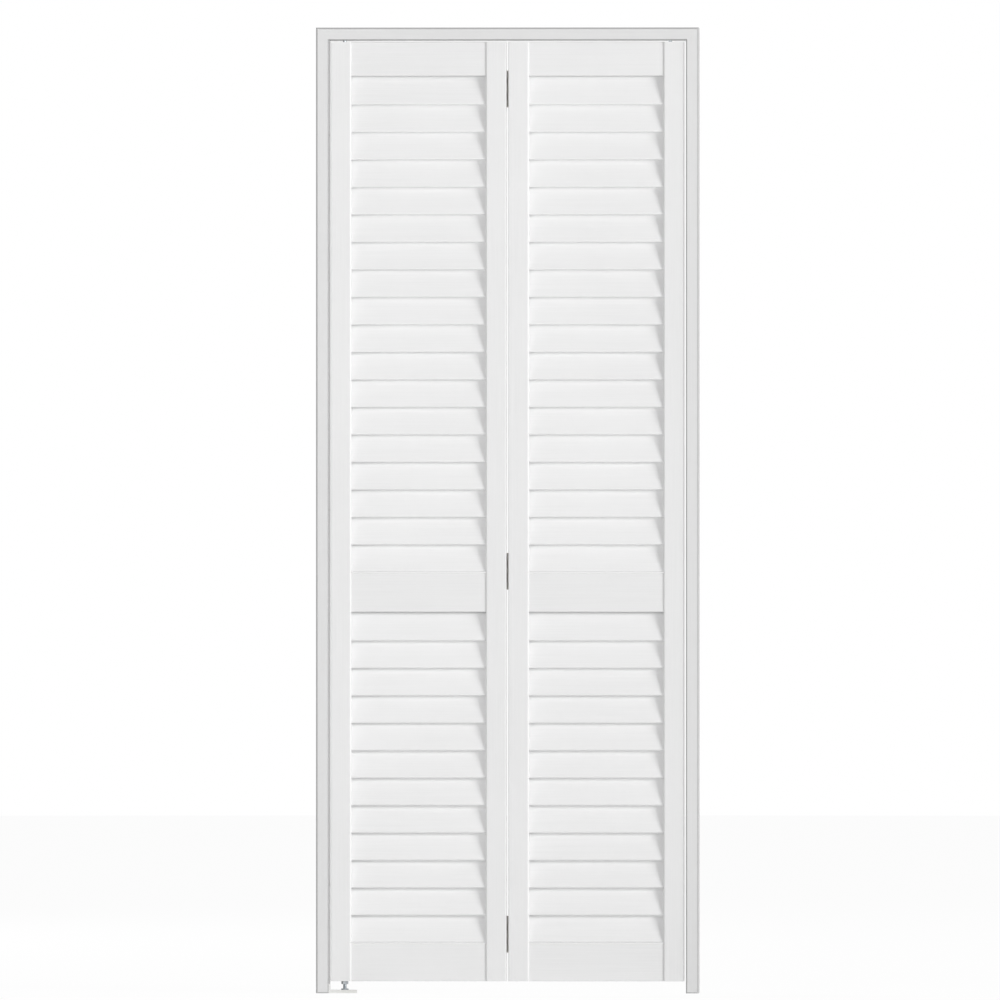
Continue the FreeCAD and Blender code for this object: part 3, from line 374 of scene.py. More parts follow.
for leaf in ("pivot_leaf", "lead_leaf"):
    for place, bank in (("top", "upper"), ("lock", "lower"), ("bottom", None)):
        node = f"{leaf}_{place}_rail"
        low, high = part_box(node)
        if bank:
            slats_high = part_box(f"{leaf}_{bank}_slats")[1]
            step_top = slats_high.z + REBATE_GAP
            lean = (step_top - low.z) * math.tan(SLAT_TILT)
            step_front = slats_high.y - SLAT_THICKNESS / math.cos(SLAT_TILT) - lean - REBATE_GAP
            outline = rebated_outline(low[1:], high[1:], step_front, step_top, RAIL_ARRIS)
            rings = stacked(np.stack([outline, outline]), [low.x, high.x], 0)
        else:
            rings = bar_rings(low, high, 0, (RAIL_ARRIS,) * 4, 0)
        piece(f"{node}_timber", skin(rings), rail_paint, leaf, [node])


# ---- Slats ---------------------------------------------------------------------------------------
# Thin pine slats with round noses, 65 by 6.5 mm, let into slots in both stiles at 13.5 degrees from
# upright with the lower edge to the front. They are sprayed before the leaf is glued up. Their paint is
# a touch whiter than the brushed timber round them as painted light, for the light their faces catch.

# Painted light: the slats' tones are whiter than the stiles', for the light their upward-leaning faces catch.
SLAT_PAINT_WITH_PAINTED_LIGHT = ("#F0F0F0", "#ECECEC")
UPPER_SLATS = 18
LOWER_SLATS = 12
slat_paint = door_paint("sprayed_satin_paint_on_pine_slat", 0, SLAT_PAINT_WITH_PAINTED_LIGHT)


def slat_outline(low, high):
    """Section of a slat in a box from low to high: two half circles of half its thickness, joined by
    flat faces, between its lower front and its upper back edge."""
    radius = SLAT_THICKNESS / 2
    ends = np.array([[low[0] + radius, low[1] + radius], [high[0] - radius, high[1] - radius]])
    turn = np.array([math.pi, 0])[:, None] - SLAT_TILT + np.linspace(0, math.pi, 11)
    loops = ends[:, None] + radius * np.stack([np.cos(turn), np.sin(turn)], axis=2)
    return loops.reshape(-1, 2)


for leaf in ("pivot_leaf", "lead_leaf"):
    for bank, count in (("upper", UPPER_SLATS), ("lower", LOWER_SLATS)):
        node = f"{leaf}_{bank}_slats"
        low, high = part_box(node)
        reach = (high.y - low.y - SLAT_THICKNESS) / math.sin(SLAT_TILT)
        height = reach * math.cos(SLAT_TILT) + SLAT_THICKNESS
        pitch = (high.z - low.z - height) / (count - 1)
        slats = []
        for step in range(count):
            bottom = low.z + step * pitch
            outline = slat_outline((low.y, bottom), (high.y, bottom + height))
            slats.append(skin(stacked(np.stack([outline, outline]), [low.x, high.x], 0)))
        piece(f"{node}_timber", joined(slats), slat_paint, leaf, [node])


# ---- Dowels --------------------------------------------------------------------------------------
# Turned beech dowels with chamfered ends, glued across every joint of a rail and a stile. They lie
# inside the timber, and show only where a leaf is taken apart.

BEECH = ("#D9B98C", "#C19A68")
FLECK_LENGTH = 3.0 * MM
FLECK_WIDTH = 0.5 * MM

# Bare beech is a matt pale brown, with short darker flecks along the grain.
beech, tree, shader, place = new_material("turned_beech", Roughness=0.55, Specular_IOR_Level=0.3)
flecks = streaks(tree, place, FLECK_WIDTH, FLECK_LENGTH, 0, 3.0)
tree.links.new(tinted(tree, flecks, BEECH), shader.inputs["Base Color"])
finish_node("pivot_leaf_dowels", beech)
finish_node("lead_leaf_dowels", beech)


# ---- Hinge plates --------------------------------------------------------------------------------
# Three butt hinges on the backs of the leaves: steel sheet 1.6 mm thick, blanked with two round
# corners, its edge rolled round the pin in alternate knuckles, then brushed and nickel plated.

NICKEL = ("#CECBC5", "#C0BDB6")
NICKEL_ROUGHNESS = 0.28
BRUSH_LINE = 0.4 * MM
BRUSH_LENGTH = 30 * MM
PLATE_CLOUD = 14 * MM
CLOUD_SPAN = (0.35, 0.65)
METAL_RELIEF = 0.02 * MM
METAL_SWAY = 0.14
HINGE_HEIGHT = 76 * MM
HINGE_SHEET = 1.6 * MM
HINGE_BORE = 2.2 * MM
KNUCKLES = 5
KNUCKLE_GAP = 0.3 * MM
ROLL_TURN = math.radians(300)
ROLL_STEPS = 28
PLATE_CORNER = 4.0 * MM
PLATE_BURR = 0.3 * MM
MIDDLE_HINGE_RISE = 874 * MM


def textured(tree, shader, fine, relief, colour):
    """Give a shader its colour, and a relief of a depth from a fine pattern."""
    bump = add_node(tree, "Bump", {"Height": fine, "Distance": relief})
    tree.links.new(bump.outputs["Normal"], shader.inputs["Normal"])
    tree.links.new(colour, shader.inputs["Base Color"])


def drawn_metal(name, tones, line, length, axis, roughness):
    """A drawn or brushed metal has a streaked shine: its lines sway the gloss and the relief, under slow
    clouds in the plating. The lines are drawn wider than real ones, so that they show."""
    material, tree, shader, place = new_material(name, Metallic=1.0)
    lines = streaks(tree, place, line, length, axis, 2.0)
    cloud = add_node(tree, "TexNoise", {"Vector": place, "Scale": 1 / PLATE_CLOUD, "Detail": 3.0})
    glossed(tree, shader, lines, (roughness, roughness + METAL_SWAY))
    textured(tree, shader, lines, METAL_RELIEF, tinted(tree, cloud.outputs["Fac"], tones, CLOUD_SPAN))
    return material


def rolled_knuckle(side, reach, axis_y, low, high):
    """A strip of the plate rolled round the pin. Its section is an arc about the axis, of the bore's
    radius inside and one sheet more outside, from straight below the axis to the end of the roll,
    with the flat of the plate running out of its start."""
    turn = np.linspace(0, ROLL_TURN, ROLL_STEPS)[:, None]
    arc = np.concatenate([-side * np.sin(turn), -np.cos(turn)], axis=1)
    outside = (HINGE_BORE + HINGE_SHEET) * arc
    inside = (HINGE_BORE * arc)[::-1]
    flat = np.array([[side * reach, -HINGE_BORE], [side * reach, -HINGE_BORE - HINGE_SHEET]])
    outline = np.concatenate([outside, inside, flat]) + [0, axis_y]
    return skin(stacked(np.stack([outline, outline]), [low, high], 2))


nickel = drawn_metal("brushed_nickel_plated_steel", NICKEL, BRUSH_LINE, BRUSH_LENGTH, 2, NICKEL_ROUGHNESS)
leaf_low, leaf_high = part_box("lead_leaf_inner_stile")
plates_low, plates_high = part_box("lead_leaf_hinge_plates")
hinge_middles = (plates_low.z + HINGE_HEIGHT / 2, leaf_low.z + MIDDLE_HINGE_RISE,
                 plates_high.z - HINGE_HEIGHT / 2)
hinge_axis_y = leaf_high.y + HINGE_SHEET + HINGE_BORE
plate_face = leaf_high.y + HINGE_SHEET
plate_start = HINGE_SHEET + HINGE_BORE + KNUCKLE_GAP
knuckle_pitch = (HINGE_HEIGHT + KNUCKLE_GAP) / KNUCKLES
# Each plate is four outlines deep: its back, the start of its softened edge, the middle, and its face.
insets = np.array([0, 0, 0.3, 1]) * PLATE_BURR * 0.9
depths = plate_face - np.array([HINGE_SHEET, PLATE_BURR, 0.3 * PLATE_BURR, 0])
for leaf, side in (("pivot_leaf", -1), ("lead_leaf", 1)):
    plates = []
    left, right = sorted((side * plate_start, side * plates_high.x))
    at_right, at_left = (PLATE_CORNER, PLATE_BURR) if side > 0 else (PLATE_BURR, PLATE_CORNER)
    radii = (at_right, at_left, at_left, at_right)
    for middle in hinge_middles:
        bottom, top = middle - HINGE_HEIGHT / 2, middle + HINGE_HEIGHT / 2
        outlines = [rounded_outline((left, bottom), (right, top), radii, inset) for inset in insets]
        plates.append(skin(stacked(np.stack(outlines), depths, 1)))
        for step in range(0 if side < 0 else 1, KNUCKLES, 2):
            low = bottom + step * knuckle_pitch
            plates.append(rolled_knuckle(side, plate_start + PLATE_BURR, hinge_axis_y, low,
                                         low + knuckle_pitch - KNUCKLE_GAP))
    piece(f"{leaf}_hinge_leaves", joined(plates), nickel, leaf, [f"{leaf}_hinge_plates"])


# ---- Hinge screws --------------------------------------------------------------------------------
# Countersunk wood screws with a cross recess, three through each plate into the stile behind it.
# They are cold headed from steel and nickel plated to match the hinges.

SCREW_NEAR = 11.0 * MM
SCREW_FAR = 16.5 * MM
SCREW_EDGE = 11.0 * MM
SCREW_PROUD = 0.25 * MM
HINGE_SCREW = {"head": 3.2 * MM, "shank": 1.75 * MM, "length": 19 * MM}
HEAD_EDGE = 0.1 * MM
POINT_LENGTH = 3.0 * MM
POINT_RADIUS = 0.3 * MM
RECESS_ARM = 0.6
RECESS_HALF_WIDTH = 0.15


def screw_rings(head, shank, length, pan=0.0):
    """Rings of a cross-recessed screw that faces +Z, with its head's top at the origin. The recess is
    a plus: its outline is arm / cos t from the middle of an arm to the arm's corner, and half its
    width / sin t from there to the quarter's diagonal. Outside it the rings are circles. Head and
    shank are radii, and pan is the height of a pan head, or 0 for a countersunk one."""
    arm, half = head * RECESS_ARM, head * RECESS_HALF_WIDTH
    corner = math.atan2(half, arm)
    quarter = np.array([-45, -30, -math.degrees(corner), 0, math.degrees(corner), 30]) * math.pi / 180
    angle = (np.arange(4)[:, None] * math.pi / 2 + quarter).ravel()
    lean = np.tile(np.abs(quarter), 4)
    cross = np.where(lean <= corner + 1e-6, arm / np.cos(lean), half / np.sin(np.maximum(lean, 1e-6)))
    under = pan if pan else head - shank + HEAD_EDGE
    recess = [(cross * 0.45, -head * 0.5), (cross * 0.8, -head * 0.42), (cross, 0.0)]
    dome = [(head * 0.75, -pan * 0.04), (head * 0.92, -pan * 0.25), (head, -pan * 0.6), (head, -pan)]
    flat = [(head * 0.93, 0.0), (head, -HEAD_EDGE)]
    shaft = [(shank, -under), (shank, POINT_LENGTH - length), (POINT_RADIUS, -length)]
    profile = recess + (dome if pan else flat) + shaft
    reach = np.stack([np.broadcast_to(radius, angle.shape) for radius, _ in profile])
    height = np.stack([np.full(angle.shape, height) for _, height in profile])
    return np.stack([reach * np.cos(angle), reach * np.sin(angle), height], axis=2)


def driven(sizes, points, axis, facing):
    """Screws turned from facing +Z to face along an axis, each with its head at one of the points."""
    rings = screw_rings(**sizes) * [1, facing, facing]
    rings = rings[:, :, {0: [2, 0, 1], 1: [1, 2, 0], 2: [0, 1, 2]}[axis]]
    return [skin(rings + np.asarray(point)) for point in points]


screw_rise = HINGE_HEIGHT / 2 - SCREW_EDGE
screw_places = ((SCREW_NEAR, -screw_rise), (SCREW_FAR, 0), (SCREW_NEAR, screw_rise))
for leaf, side in (("pivot_leaf", -1), ("lead_leaf", 1)):
    spots = [(side * x, plate_face + SCREW_PROUD, middle + z) for middle in hinge_middles
             for x, z in screw_places]
    piece(f"{leaf}_hinge_wood_screws", joined(driven(HINGE_SCREW, spots, 1, 1)), nickel, leaf,
          [f"{leaf}_hinge_screws"])


# ---- Hinge pins ----------------------------------------------------------------------------------
# A turned steel pin through each hinge's knuckles, with a low domed head riveted on at both ends,
# nickel plated with the plates. It stays with the pivot leaf's knuckles.

PIN_SHAFT = 2.15 * MM
PIN_HEAD = 3.2 * MM
PIN_HEAD_RISE = 1.4 * MM


def turned(profile, centre, around=40):
    """Rings turned about an upright axis: ring i lies at its height i above the centre, and its radius
    is one number, or one for each of the points round it."""
    angle = np.linspace(0, 2 * math.pi, around, endpoint=False)
    radius = np.stack([np.broadcast_to(radius, around) for radius, _ in profile])
    height = np.stack([np.broadcast_to(height, around) for _, height in profile])
    return np.stack([radius * np.cos(angle), radius * np.sin(angle), height], axis=2) + np.asarray(centre)


half = HINGE_HEIGHT / 2
head_curve = [(0.3, 1.0), (0.6, 0.92), (0.85, 0.7), (1.0, 0.35), (1.0, 0.0)]
pin_top = [(PIN_HEAD * radius, half + PIN_HEAD_RISE * rise) for radius, rise in head_curve]
pin_profile = pin_top + [(PIN_SHAFT, half)]
pin_profile += [(radius, -height) for radius, height in pin_profile[::-1]]
pins = [skin(turned(pin_profile, (0, hinge_axis_y, middle))) for middle in hinge_middles]
piece("hinge_pins_headed", joined(pins), nickel, "pivot_leaf", ["hinge_pins"])


# ---- Frame screws --------------------------------------------------------------------------------
# Countersunk steel screws, three through each side jamb into the end of the head. Their bright zinc
# plating has a bluish shine with fine turning lines.

ZINC = ("#C3C7CA", "#9FA4A9")
ZINC_ROUGHNESS = 0.24
TURNING_LINE = 0.6 * MM
TURNING_LENGTH = 6 * MM
FRAME_SCREW = {"head": 4.4 * MM, "shank": 2.2 * MM, "length": 50 * MM}
zinc_steel = drawn_metal("bright_zinc_plated_steel", ZINC, TURNING_LINE, TURNING_LENGTH, 2, ZINC_ROUGHNESS)
low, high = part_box("frame_screws")
rows = np.linspace(low.y + FRAME_SCREW["head"], high.y - FRAME_SCREW["head"], 3)
screws = []
for x, facing in ((low.x, -1), (high.x, 1)):
    screws += driven(FRAME_SCREW, [(x, row, (low.z + high.z) / 2) for row in rows], 0, facing)
piece("frame_joint_screws", joined(screws), zinc_steel, "frame", ["frame_screws"])


# ---- Overhead track ------------------------------------------------------------------------------
# A channel of 1 mm steel, roll formed with its two lips turned in, enamelled white and let into the
# groove under the head. Five pan head screws hold it up.

ENAMEL = ("#ECECEA", "#E4E4E1")
ENAMEL_PEEL = 1.2 * MM
ENAMEL_RELIEF = 0.015 * MM
ENAMEL_PATCH = 35 * MM
ENAMEL_PATCH_SPAN = (0.4, 0.65)
ENAMEL_ROUGHNESS = (0.22, 0.34)
TRACK_WALL = 1.0 * MM
TRACK_MOUTH = 18 * MM
TRACK_BEND = 1.6 * MM
TRACK_SCREWS = 5
TRACK_SCREW = {"head": 3.2 * MM, "shank": 1.75 * MM, "length": 10.3 * MM, "pan": 1.8 * MM}


def baked_enamel(name):
    """Baked enamel on steel: a glossy white film with a slight orange peel and duller patches."""
    material, tree, shader, place = new_material(name)
    peel = add_node(tree, "TexNoise", {"Vector": place, "Scale": 1 / ENAMEL_PEEL, "Detail": 2.0})
    patch = add_node(tree, "TexNoise", {"Vector": place, "Scale": 1 / ENAMEL_PATCH, "Detail": 3.0})
    colour = tinted(tree, patch.outputs["Fac"], ENAMEL, ENAMEL_PATCH_SPAN)
    glossed(tree, shader, patch.outputs["Fac"], ENAMEL_ROUGHNESS)
    textured(tree, shader, peel.outputs["Fac"], ENAMEL_RELIEF, colour)
    return material


def channel_outline(low, high, wall, mouth, bend):
    """Section of the track: the left half of a rounded rectangle's outline from the middle of its top
    to the lip, then back one wall inside it, and the same half mirrored."""
    turns = 6
    outer = rounded_outline(low, high, (bend,) * 4, 0, turns)
    inner = rounded_outline(np.asarray(low) + wall, np.asarray(high) - wall, (bend - wall,) * 4, 0, turns)
    centre = (low[0] + high[0]) / 2
    left_outer = outer[turns:3 * turns]
    left_inner = inner[turns:3 * turns][::-1]
    lip = np.array([[centre - mouth / 2, low[1]], [centre - mouth / 2, low[1] + wall]])
    half = np.concatenate([[[centre, high[1]]], left_outer, lip, left_inner, [[centre, high[1] - wall]]])
    mirrored = (half * [-1, 1] + [2 * centre, 0])[::-1]
    return np.concatenate([half, mirrored[1:-1]])


enamel = baked_enamel("baked_enamel_on_rolled_steel")
low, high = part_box("top_track")
section = channel_outline(low[1:], high[1:], TRACK_WALL, TRACK_MOUTH, TRACK_BEND)
channel = stacked(np.stack([section, section]), [low.x, high.x], 0)
piece("overhead_track_channel", skin(channel), enamel, "frame", ["top_track"])
screws_low, screws_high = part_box("track_screws")
reach = screws_high.x - TRACK_SCREW["head"]
spots = [(x, (low.y + high.y) / 2, screws_low.z) for x in np.linspace(-reach, reach, TRACK_SCREWS)]
piece("track_pan_screws", joined(driven(TRACK_SCREW, spots, 2, -1)), zinc_steel, "frame",
      ["track_screws"])


# ---- Top pivot -----------------------------------------------------------------------------------
# A die-cast zinc block clamped in the track by a socket set screw takes a sprung steel pin, which
# slides in a flanged nylon sleeve in the top of the pivot leaf, pushed up by a coil spring.

CAST_ZINC = ("#A9ACAE", "#8F9294")
CAST_GRIT = 0.5 * MM
CAST_RELIEF = 0.04 * MM
CAST_FLOW = 9 * MM
CAST_ROUGHNESS = (0.42, 0.55)
NYLON = ("#E9E5DB", "#DFDACE")
NYLON_GRIT = 0.8 * MM
NYLON_RELIEF = 0.01 * MM
NYLON_TINT = 6 * MM
NYLON_ROUGHNESS = (0.38, 0.48)
SPRING_WIRE = ("#77777A", "#5E5E61")
DRAWING_LINE = 0.3 * MM
DRAWING_LENGTH = 3 * MM
WIRE_ROUGHNESS = 0.3
SOFT_EDGE = 0.3 * MM
SCREW_SOCKET = 3.0 * MM
SOCKET_DEPTH = 3.3 * MM
SOCKET_FLOOR = 0.9
SET_SCREW_RADIUS = 3.0 * MM
SET_SCREW_END = 2.6 * MM
SET_SCREW_CHAMFER = 0.4 * MM
SET_SCREW_SIDES = 24
PIN_RADIUS = 4.0 * MM
PIN_TIP = 1.2 * MM
FOOT_RADIUS = 5.1 * MM
FOOT_HEIGHT = 3.0 * MM
SLEEVE_RADIUS = 6.35 * MM
FLANGE_RADIUS = 9.0 * MM
FLANGE_HEIGHT = 1.5 * MM
SLEEVE_BORE = 4.05 * MM
SLEEVE_CHAMBER = 5.2 * MM
SLEEVE_MOUTH = 4.0 * MM
WIRE_RADIUS = 0.5 * MM
WIRE_SIDES = 10
SPRING_TURNS = 7
STEPS_A_TURN = 28

# Cast zinc is a dull grey metal. Its mould leaves a fine grit, and the metal's flow leaves cloudy marks.
cast_zinc, tree, shader, place = new_material("die_cast_zinc", Metallic=1.0)
grit = add_node(tree, "TexNoise", {"Vector": place, "Scale": 1 / CAST_GRIT, "Detail": 3.0}).outputs["Fac"]
flow = add_node(tree, "TexNoise", {"Vector": place, "Scale": 1 / CAST_FLOW, "Detail": 2.0}).outputs["Fac"]
glossed(tree, shader, flow, CAST_ROUGHNESS)
textured(tree, shader, grit, CAST_RELIEF, tinted(tree, flow, CAST_ZINC, CLOUD_SPAN))

# Natural nylon is a warm, slightly waxy white, half matt from the mould's fine texture.
nylon, tree, shader, place = new_material("moulded_natural_nylon", Specular_IOR_Level=0.45)
grit = add_node(tree, "TexNoise", {"Vector": place, "Scale": 1 / NYLON_GRIT, "Detail": 2.0}).outputs["Fac"]
tint = add_node(tree, "TexNoise", {"Vector": place, "Scale": 1 / NYLON_TINT, "Detail": 2.0}).outputs["Fac"]
glossed(tree, shader, grit, NYLON_ROUGHNESS)
textured(tree, shader, grit, NYLON_RELIEF, tinted(tree, tint, NYLON, CLOUD_SPAN))

# Spring wire is dark grey from its heat treatment, with fine lines from the drawing die.
spring_steel = drawn_metal("hard_drawn_spring_wire", SPRING_WIRE, DRAWING_LINE, DRAWING_LENGTH, 0,
                           WIRE_ROUGHNESS)


def hoop(rings):
    """Vertices and faces of a closed body with a hole through it: quads between ring i and i + 1, and
    between the last ring and the first."""
    count, around = rings.shape[:2]
    ring = np.arange(count)[:, None] * around
    after = (ring + around) % (count * around)
    step = np.arange(around)[None]
    ahead = (step + 1) % around
    quads = np.stack([ring + step, ring + ahead, after + ahead, after + step], axis=2)
    return rings.reshape(-1, 3), quads.reshape(-1, 4).tolist()


def foot_of(node):
    """The middle of the lowest face of a node's box, and the box's height."""
    low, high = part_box(node)
    return ((low.x + high.x) / 2, (low.y + high.y) / 2, low.z), high.z - low.z


def hexagon_radius(flats, around):
    """Radius of a hexagon at each of the points round it: half the width across flats / cos of the
    angle from the middle of the nearest flat."""
    angle = np.linspace(0, 2 * math.pi, around, endpoint=False)
    return flats / 2 / np.cos(angle % (math.pi / 3) - math.pi / 6)


def sprung_sleeve(node):
    """The sleeve's section, followed once round: mouth, chamber, outside, under the flange and its rim."""
    foot, height = foot_of(node)
    flange = height - FLANGE_HEIGHT
    profile = [(SLEEVE_BORE + SOFT_EDGE, height), (SLEEVE_BORE, height - SOFT_EDGE),
               (SLEEVE_BORE, height - SLEEVE_MOUTH), (SLEEVE_CHAMBER, height - SLEEVE_MOUTH),
               (SLEEVE_CHAMBER, 0), (SLEEVE_RADIUS - SOFT_EDGE, 0), (SLEEVE_RADIUS, SOFT_EDGE),
               (SLEEVE_RADIUS, flange), (FLANGE_RADIUS, flange), (FLANGE_RADIUS, height - SOFT_EDGE),
               (FLANGE_RADIUS - SOFT_EDGE, height)]
    return hoop(turned(profile, foot))


def coil_spring(node, turns, wire):
    """A round wire along a helix: at turn t its centre stands at the coil's radius and at a height that
    grows with t, and its section is a circle in the plane through the axis and that centre."""
    low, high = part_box(node)
    foot, height = foot_of(node)
    coil = (high.x - low.x) / 2 - wire
    turn = np.linspace(0, 2 * math.pi * turns, turns * STEPS_A_TURN + 1)[:, None]
    round_wire = np.linspace(0, 2 * math.pi, WIRE_SIDES, endpoint=False)[None]
    radius = coil + wire * np.cos(round_wire)
    rise = wire + (height - 2 * wire) * turn / turn[-1] + wire * np.sin(round_wire)
    return skin(np.stack([radius * np.cos(turn), radius * np.sin(turn), rise], axis=2) + foot)


def add_spring(name, node, body):
    """A spring in its sleeve, made as a piece with a mesh of its own."""
    coil = coil_spring(node, SPRING_TURNS, WIRE_RADIUS)
    made = piece(name, coil, spring_steel, body, [node])
    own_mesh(made)


finish_node("top_pivot_bracket", cast_zinc)
foot, height = foot_of("bracket_grub_screw")
socket = hexagon_radius(SCREW_SOCKET, SET_SCREW_SIDES)
profile = [(socket * SOCKET_FLOOR, SOCKET_DEPTH), (socket, SOCKET_DEPTH), (socket, 0), (SET_SCREW_END, 0),
           (SET_SCREW_RADIUS, SET_SCREW_CHAMFER), (SET_SCREW_RADIUS, height - SET_SCREW_CHAMFER),
           (SET_SCREW_END, height)]
piece("bracket_socket_set_screw", skin(turned(profile, foot, SET_SCREW_SIDES)), zinc_steel, "frame",
      ["bracket_grub_screw"])
piece("top_pivot_flanged_sleeve", sprung_sleeve("top_pivot_sleeve"), nylon, "pivot_leaf",
      ["top_pivot_sleeve"])
add_spring("top_pivot_coil_spring", "top_pivot_spring", "pivot_leaf")
foot, height = foot_of("top_pivot_pin")
pin_foot = [(FOOT_RADIUS - SOFT_EDGE, 0), (FOOT_RADIUS, SOFT_EDGE), (FOOT_RADIUS, FOOT_HEIGHT - SOFT_EDGE),
            (FOOT_RADIUS - SOFT_EDGE, FOOT_HEIGHT), (PIN_RADIUS, FOOT_HEIGHT)]
pin_tip = [(PIN_RADIUS, height - PIN_TIP), (PIN_RADIUS - 0.35 * PIN_TIP, height - 0.4 * PIN_TIP),
           (PIN_RADIUS - PIN_TIP, height)]
piece("top_pivot_turned_pin", skin(turned(pin_foot + pin_tip, foot)), zinc_steel, "top_pivot_pin",
      ["top_pivot_pin"])


# ---- Guide ---------------------------------------------------------------------------------------
# The lead leaf's top corner carries the same sleeve and spring, under a pin with a shouldered seat and
# a riveted end on which a moulded nylon wheel turns in the track.

SHOULDER_RADIUS = 5.5 * MM
SHOULDER_HEIGHT = 1.5 * MM
SPINDLE_RADIUS = 3.0 * MM
SPINDLE_LENGTH = 8 * MM
RIVET_RADIUS = 4.6 * MM
RIVET_HEIGHT = 1.5 * MM
WHEEL_BORE = 3.05 * MM
WHEEL_HUB = 5.9 * MM
WHEEL_CHAMFER = 1.0 * MM
WHEEL_DISH = 0.6 * MM
WHEEL_RIM_WALL = 0.5 * MM
WHEEL_SIDES = 64

piece("guide_flanged_sleeve", sprung_sleeve("guide_sleeve"), nylon, "lead_leaf", ["guide_sleeve"])
add_spring("guide_coil_spring", "guide_spring", "lead_leaf")
foot, height = foot_of("guide_pin")
wheel_top = height - RIVET_HEIGHT
shoulder_top = wheel_top - SPINDLE_LENGTH
shoulder_low = shoulder_top - SHOULDER_HEIGHT
shoulder = [(PIN_RADIUS, shoulder_low), (SHOULDER_RADIUS - SOFT_EDGE, shoulder_low),
            (SHOULDER_RADIUS, shoulder_low + SOFT_EDGE), (SHOULDER_RADIUS, shoulder_top - SOFT_EDGE),
            (SHOULDER_RADIUS - SOFT_EDGE, shoulder_top)]
spindle = [(SPINDLE_RADIUS, shoulder_top), (SPINDLE_RADIUS, wheel_top)]
rivet_curve = [(1.0, 0.0), (0.97, 0.45), (0.75, 0.85), (0.4, 1.0)]
rivet = [(RIVET_RADIUS * radius, wheel_top + RIVET_HEIGHT * rise) for radius, rise in rivet_curve]
profile = pin_foot + shoulder + spindle + rivet
piece("guide_shouldered_pin", skin(turned(profile, foot)), zinc_steel, "guide_pin",
      ["guide_pin"])
low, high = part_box("guide_wheel")
foot, height = foot_of("guide_wheel")
rim = (high.x - low.x) / 2
dish = [(WHEEL_HUB, 0), (WHEEL_HUB + WHEEL_DISH, WHEEL_DISH),
        (rim - WHEEL_CHAMFER - WHEEL_RIM_WALL, WHEEL_DISH)]
tread = [(rim - WHEEL_CHAMFER, 0), (rim - 0.3 * WHEEL_CHAMFER, 0.3 * WHEEL_CHAMFER), (rim, WHEEL_CHAMFER)]
profile = [(WHEEL_BORE, 0)] + dish + tread
profile += [(radius, height - rise) for radius, rise in profile[::-1]]
piece("guide_moulded_wheel", hoop(turned(profile, foot, WHEEL_SIDES)), nylon, "guide_wheel",
      ["guide_wheel"])


# ---- Bottom pivot --------------------------------------------------------------------------------
# A pressed and enamelled steel tray, screwed to the left jamb at the floor, with five seats for a
# threaded steel pin. The pin has a hexagonal collar to turn it by and a nut under the nylon sleeve.

PIN_SIDES = 48
THREAD_PITCH = 1.25 * MM
THREAD_DEPTH = 0.65 * MM
THREAD_OVERLAP = 0.5 * MM
BOTTOM_PIN_CHAMFER = 0.8 * MM
COLLAR_FLATS = 14 * MM
COLLAR_RISE = 7 * MM
COLLAR_HEIGHT = 3 * MM
NUT_FLATS = 13 * MM
NUT_CLEARANCE = 0.05 * MM
FLAT_CUT = 0.97
BRACKET_SCREW = {"head": 3.9 * MM, "shank": 2.0 * MM, "length": 20 * MM}
BRACKET_SCREW_SPACING = 18 * MM


def hexagon_rings(flats, bottom, top):
    """Rings of a nut: a hexagon whose corners are cut at 30 degrees. At each end a circle a little
    smaller than the flats is followed by the hexagon, (radius - circle) * tan 30 further in."""
    radius = hexagon_radius(flats, PIN_SIDES)
    circle = flats / 2 * FLAT_CUT
    cut = (radius - circle) * math.tan(math.pi / 6)
    return [(circle, bottom), (radius, bottom + cut), (radius, top - cut), (circle, top)]


def threaded_rings(radius, bottom, top):
    """Rings of a thread: at height h and angle a the surface lies below the crest by the thread's depth
    * (1 - |2 f - 1|), where f is the fraction part of h / pitch - a / (2 pi)."""
    height = np.arange(bottom, top, THREAD_PITCH / 6)
    angle = np.linspace(0, 2 * math.pi, PIN_SIDES, endpoint=False)
    share = (height[:, None] / THREAD_PITCH - angle / (2 * math.pi)) % 1
    reach = radius - THREAD_DEPTH * (1 - np.abs(2 * share - 1))
    return [(row, rise) for row, rise in zip(reach, height)]


pressed_enamel = baked_enamel("baked_enamel_on_pressed_steel")
finish_node("bottom_pivot_bracket", pressed_enamel)
low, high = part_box("bottom_bracket_screws")
spots = [(high.x, (low.y + high.y) / 2 + side * BRACKET_SCREW_SPACING / 2, (low.z + high.z) / 2)
         for side in (-1, 1)]
piece("bracket_wood_screws", joined(driven(BRACKET_SCREW, spots, 0, 1)), zinc_steel, "frame",
      ["bottom_bracket_screws"])
low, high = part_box("bottom_pivot_pin")
pin_centre = np.array([(low.x + high.x) / 2, (low.y + high.y) / 2, 0])
collar_top = COLLAR_RISE + COLLAR_HEIGHT
pin_profiles = [[(PIN_RADIUS - BOTTOM_PIN_CHAMFER, low.z), (PIN_RADIUS, low.z + BOTTOM_PIN_CHAMFER),
                 (PIN_RADIUS, COLLAR_RISE)],
                hexagon_rings(COLLAR_FLATS, COLLAR_RISE, collar_top),
                threaded_rings(PIN_RADIUS, collar_top - THREAD_OVERLAP, high.z)]
pin_parts = [skin(turned(profile, pin_centre, PIN_SIDES)) for profile in pin_profiles]
piece("bottom_pivot_threaded_pin", joined(pin_parts), zinc_steel, "frame", ["bottom_pivot_pin"])
low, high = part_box("height_nut")
bore = PIN_RADIUS + NUT_CLEARANCE
profile = [(bore, high.z), (bore, low.z)] + hexagon_rings(NUT_FLATS, low.z, high.z)
piece("height_adjusting_nut", hoop(turned(profile, pin_centre, PIN_SIDES)), zinc_steel, "frame",
      ["height_nut"])
low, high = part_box("bottom_pivot_sleeve")
height = high.z - low.z
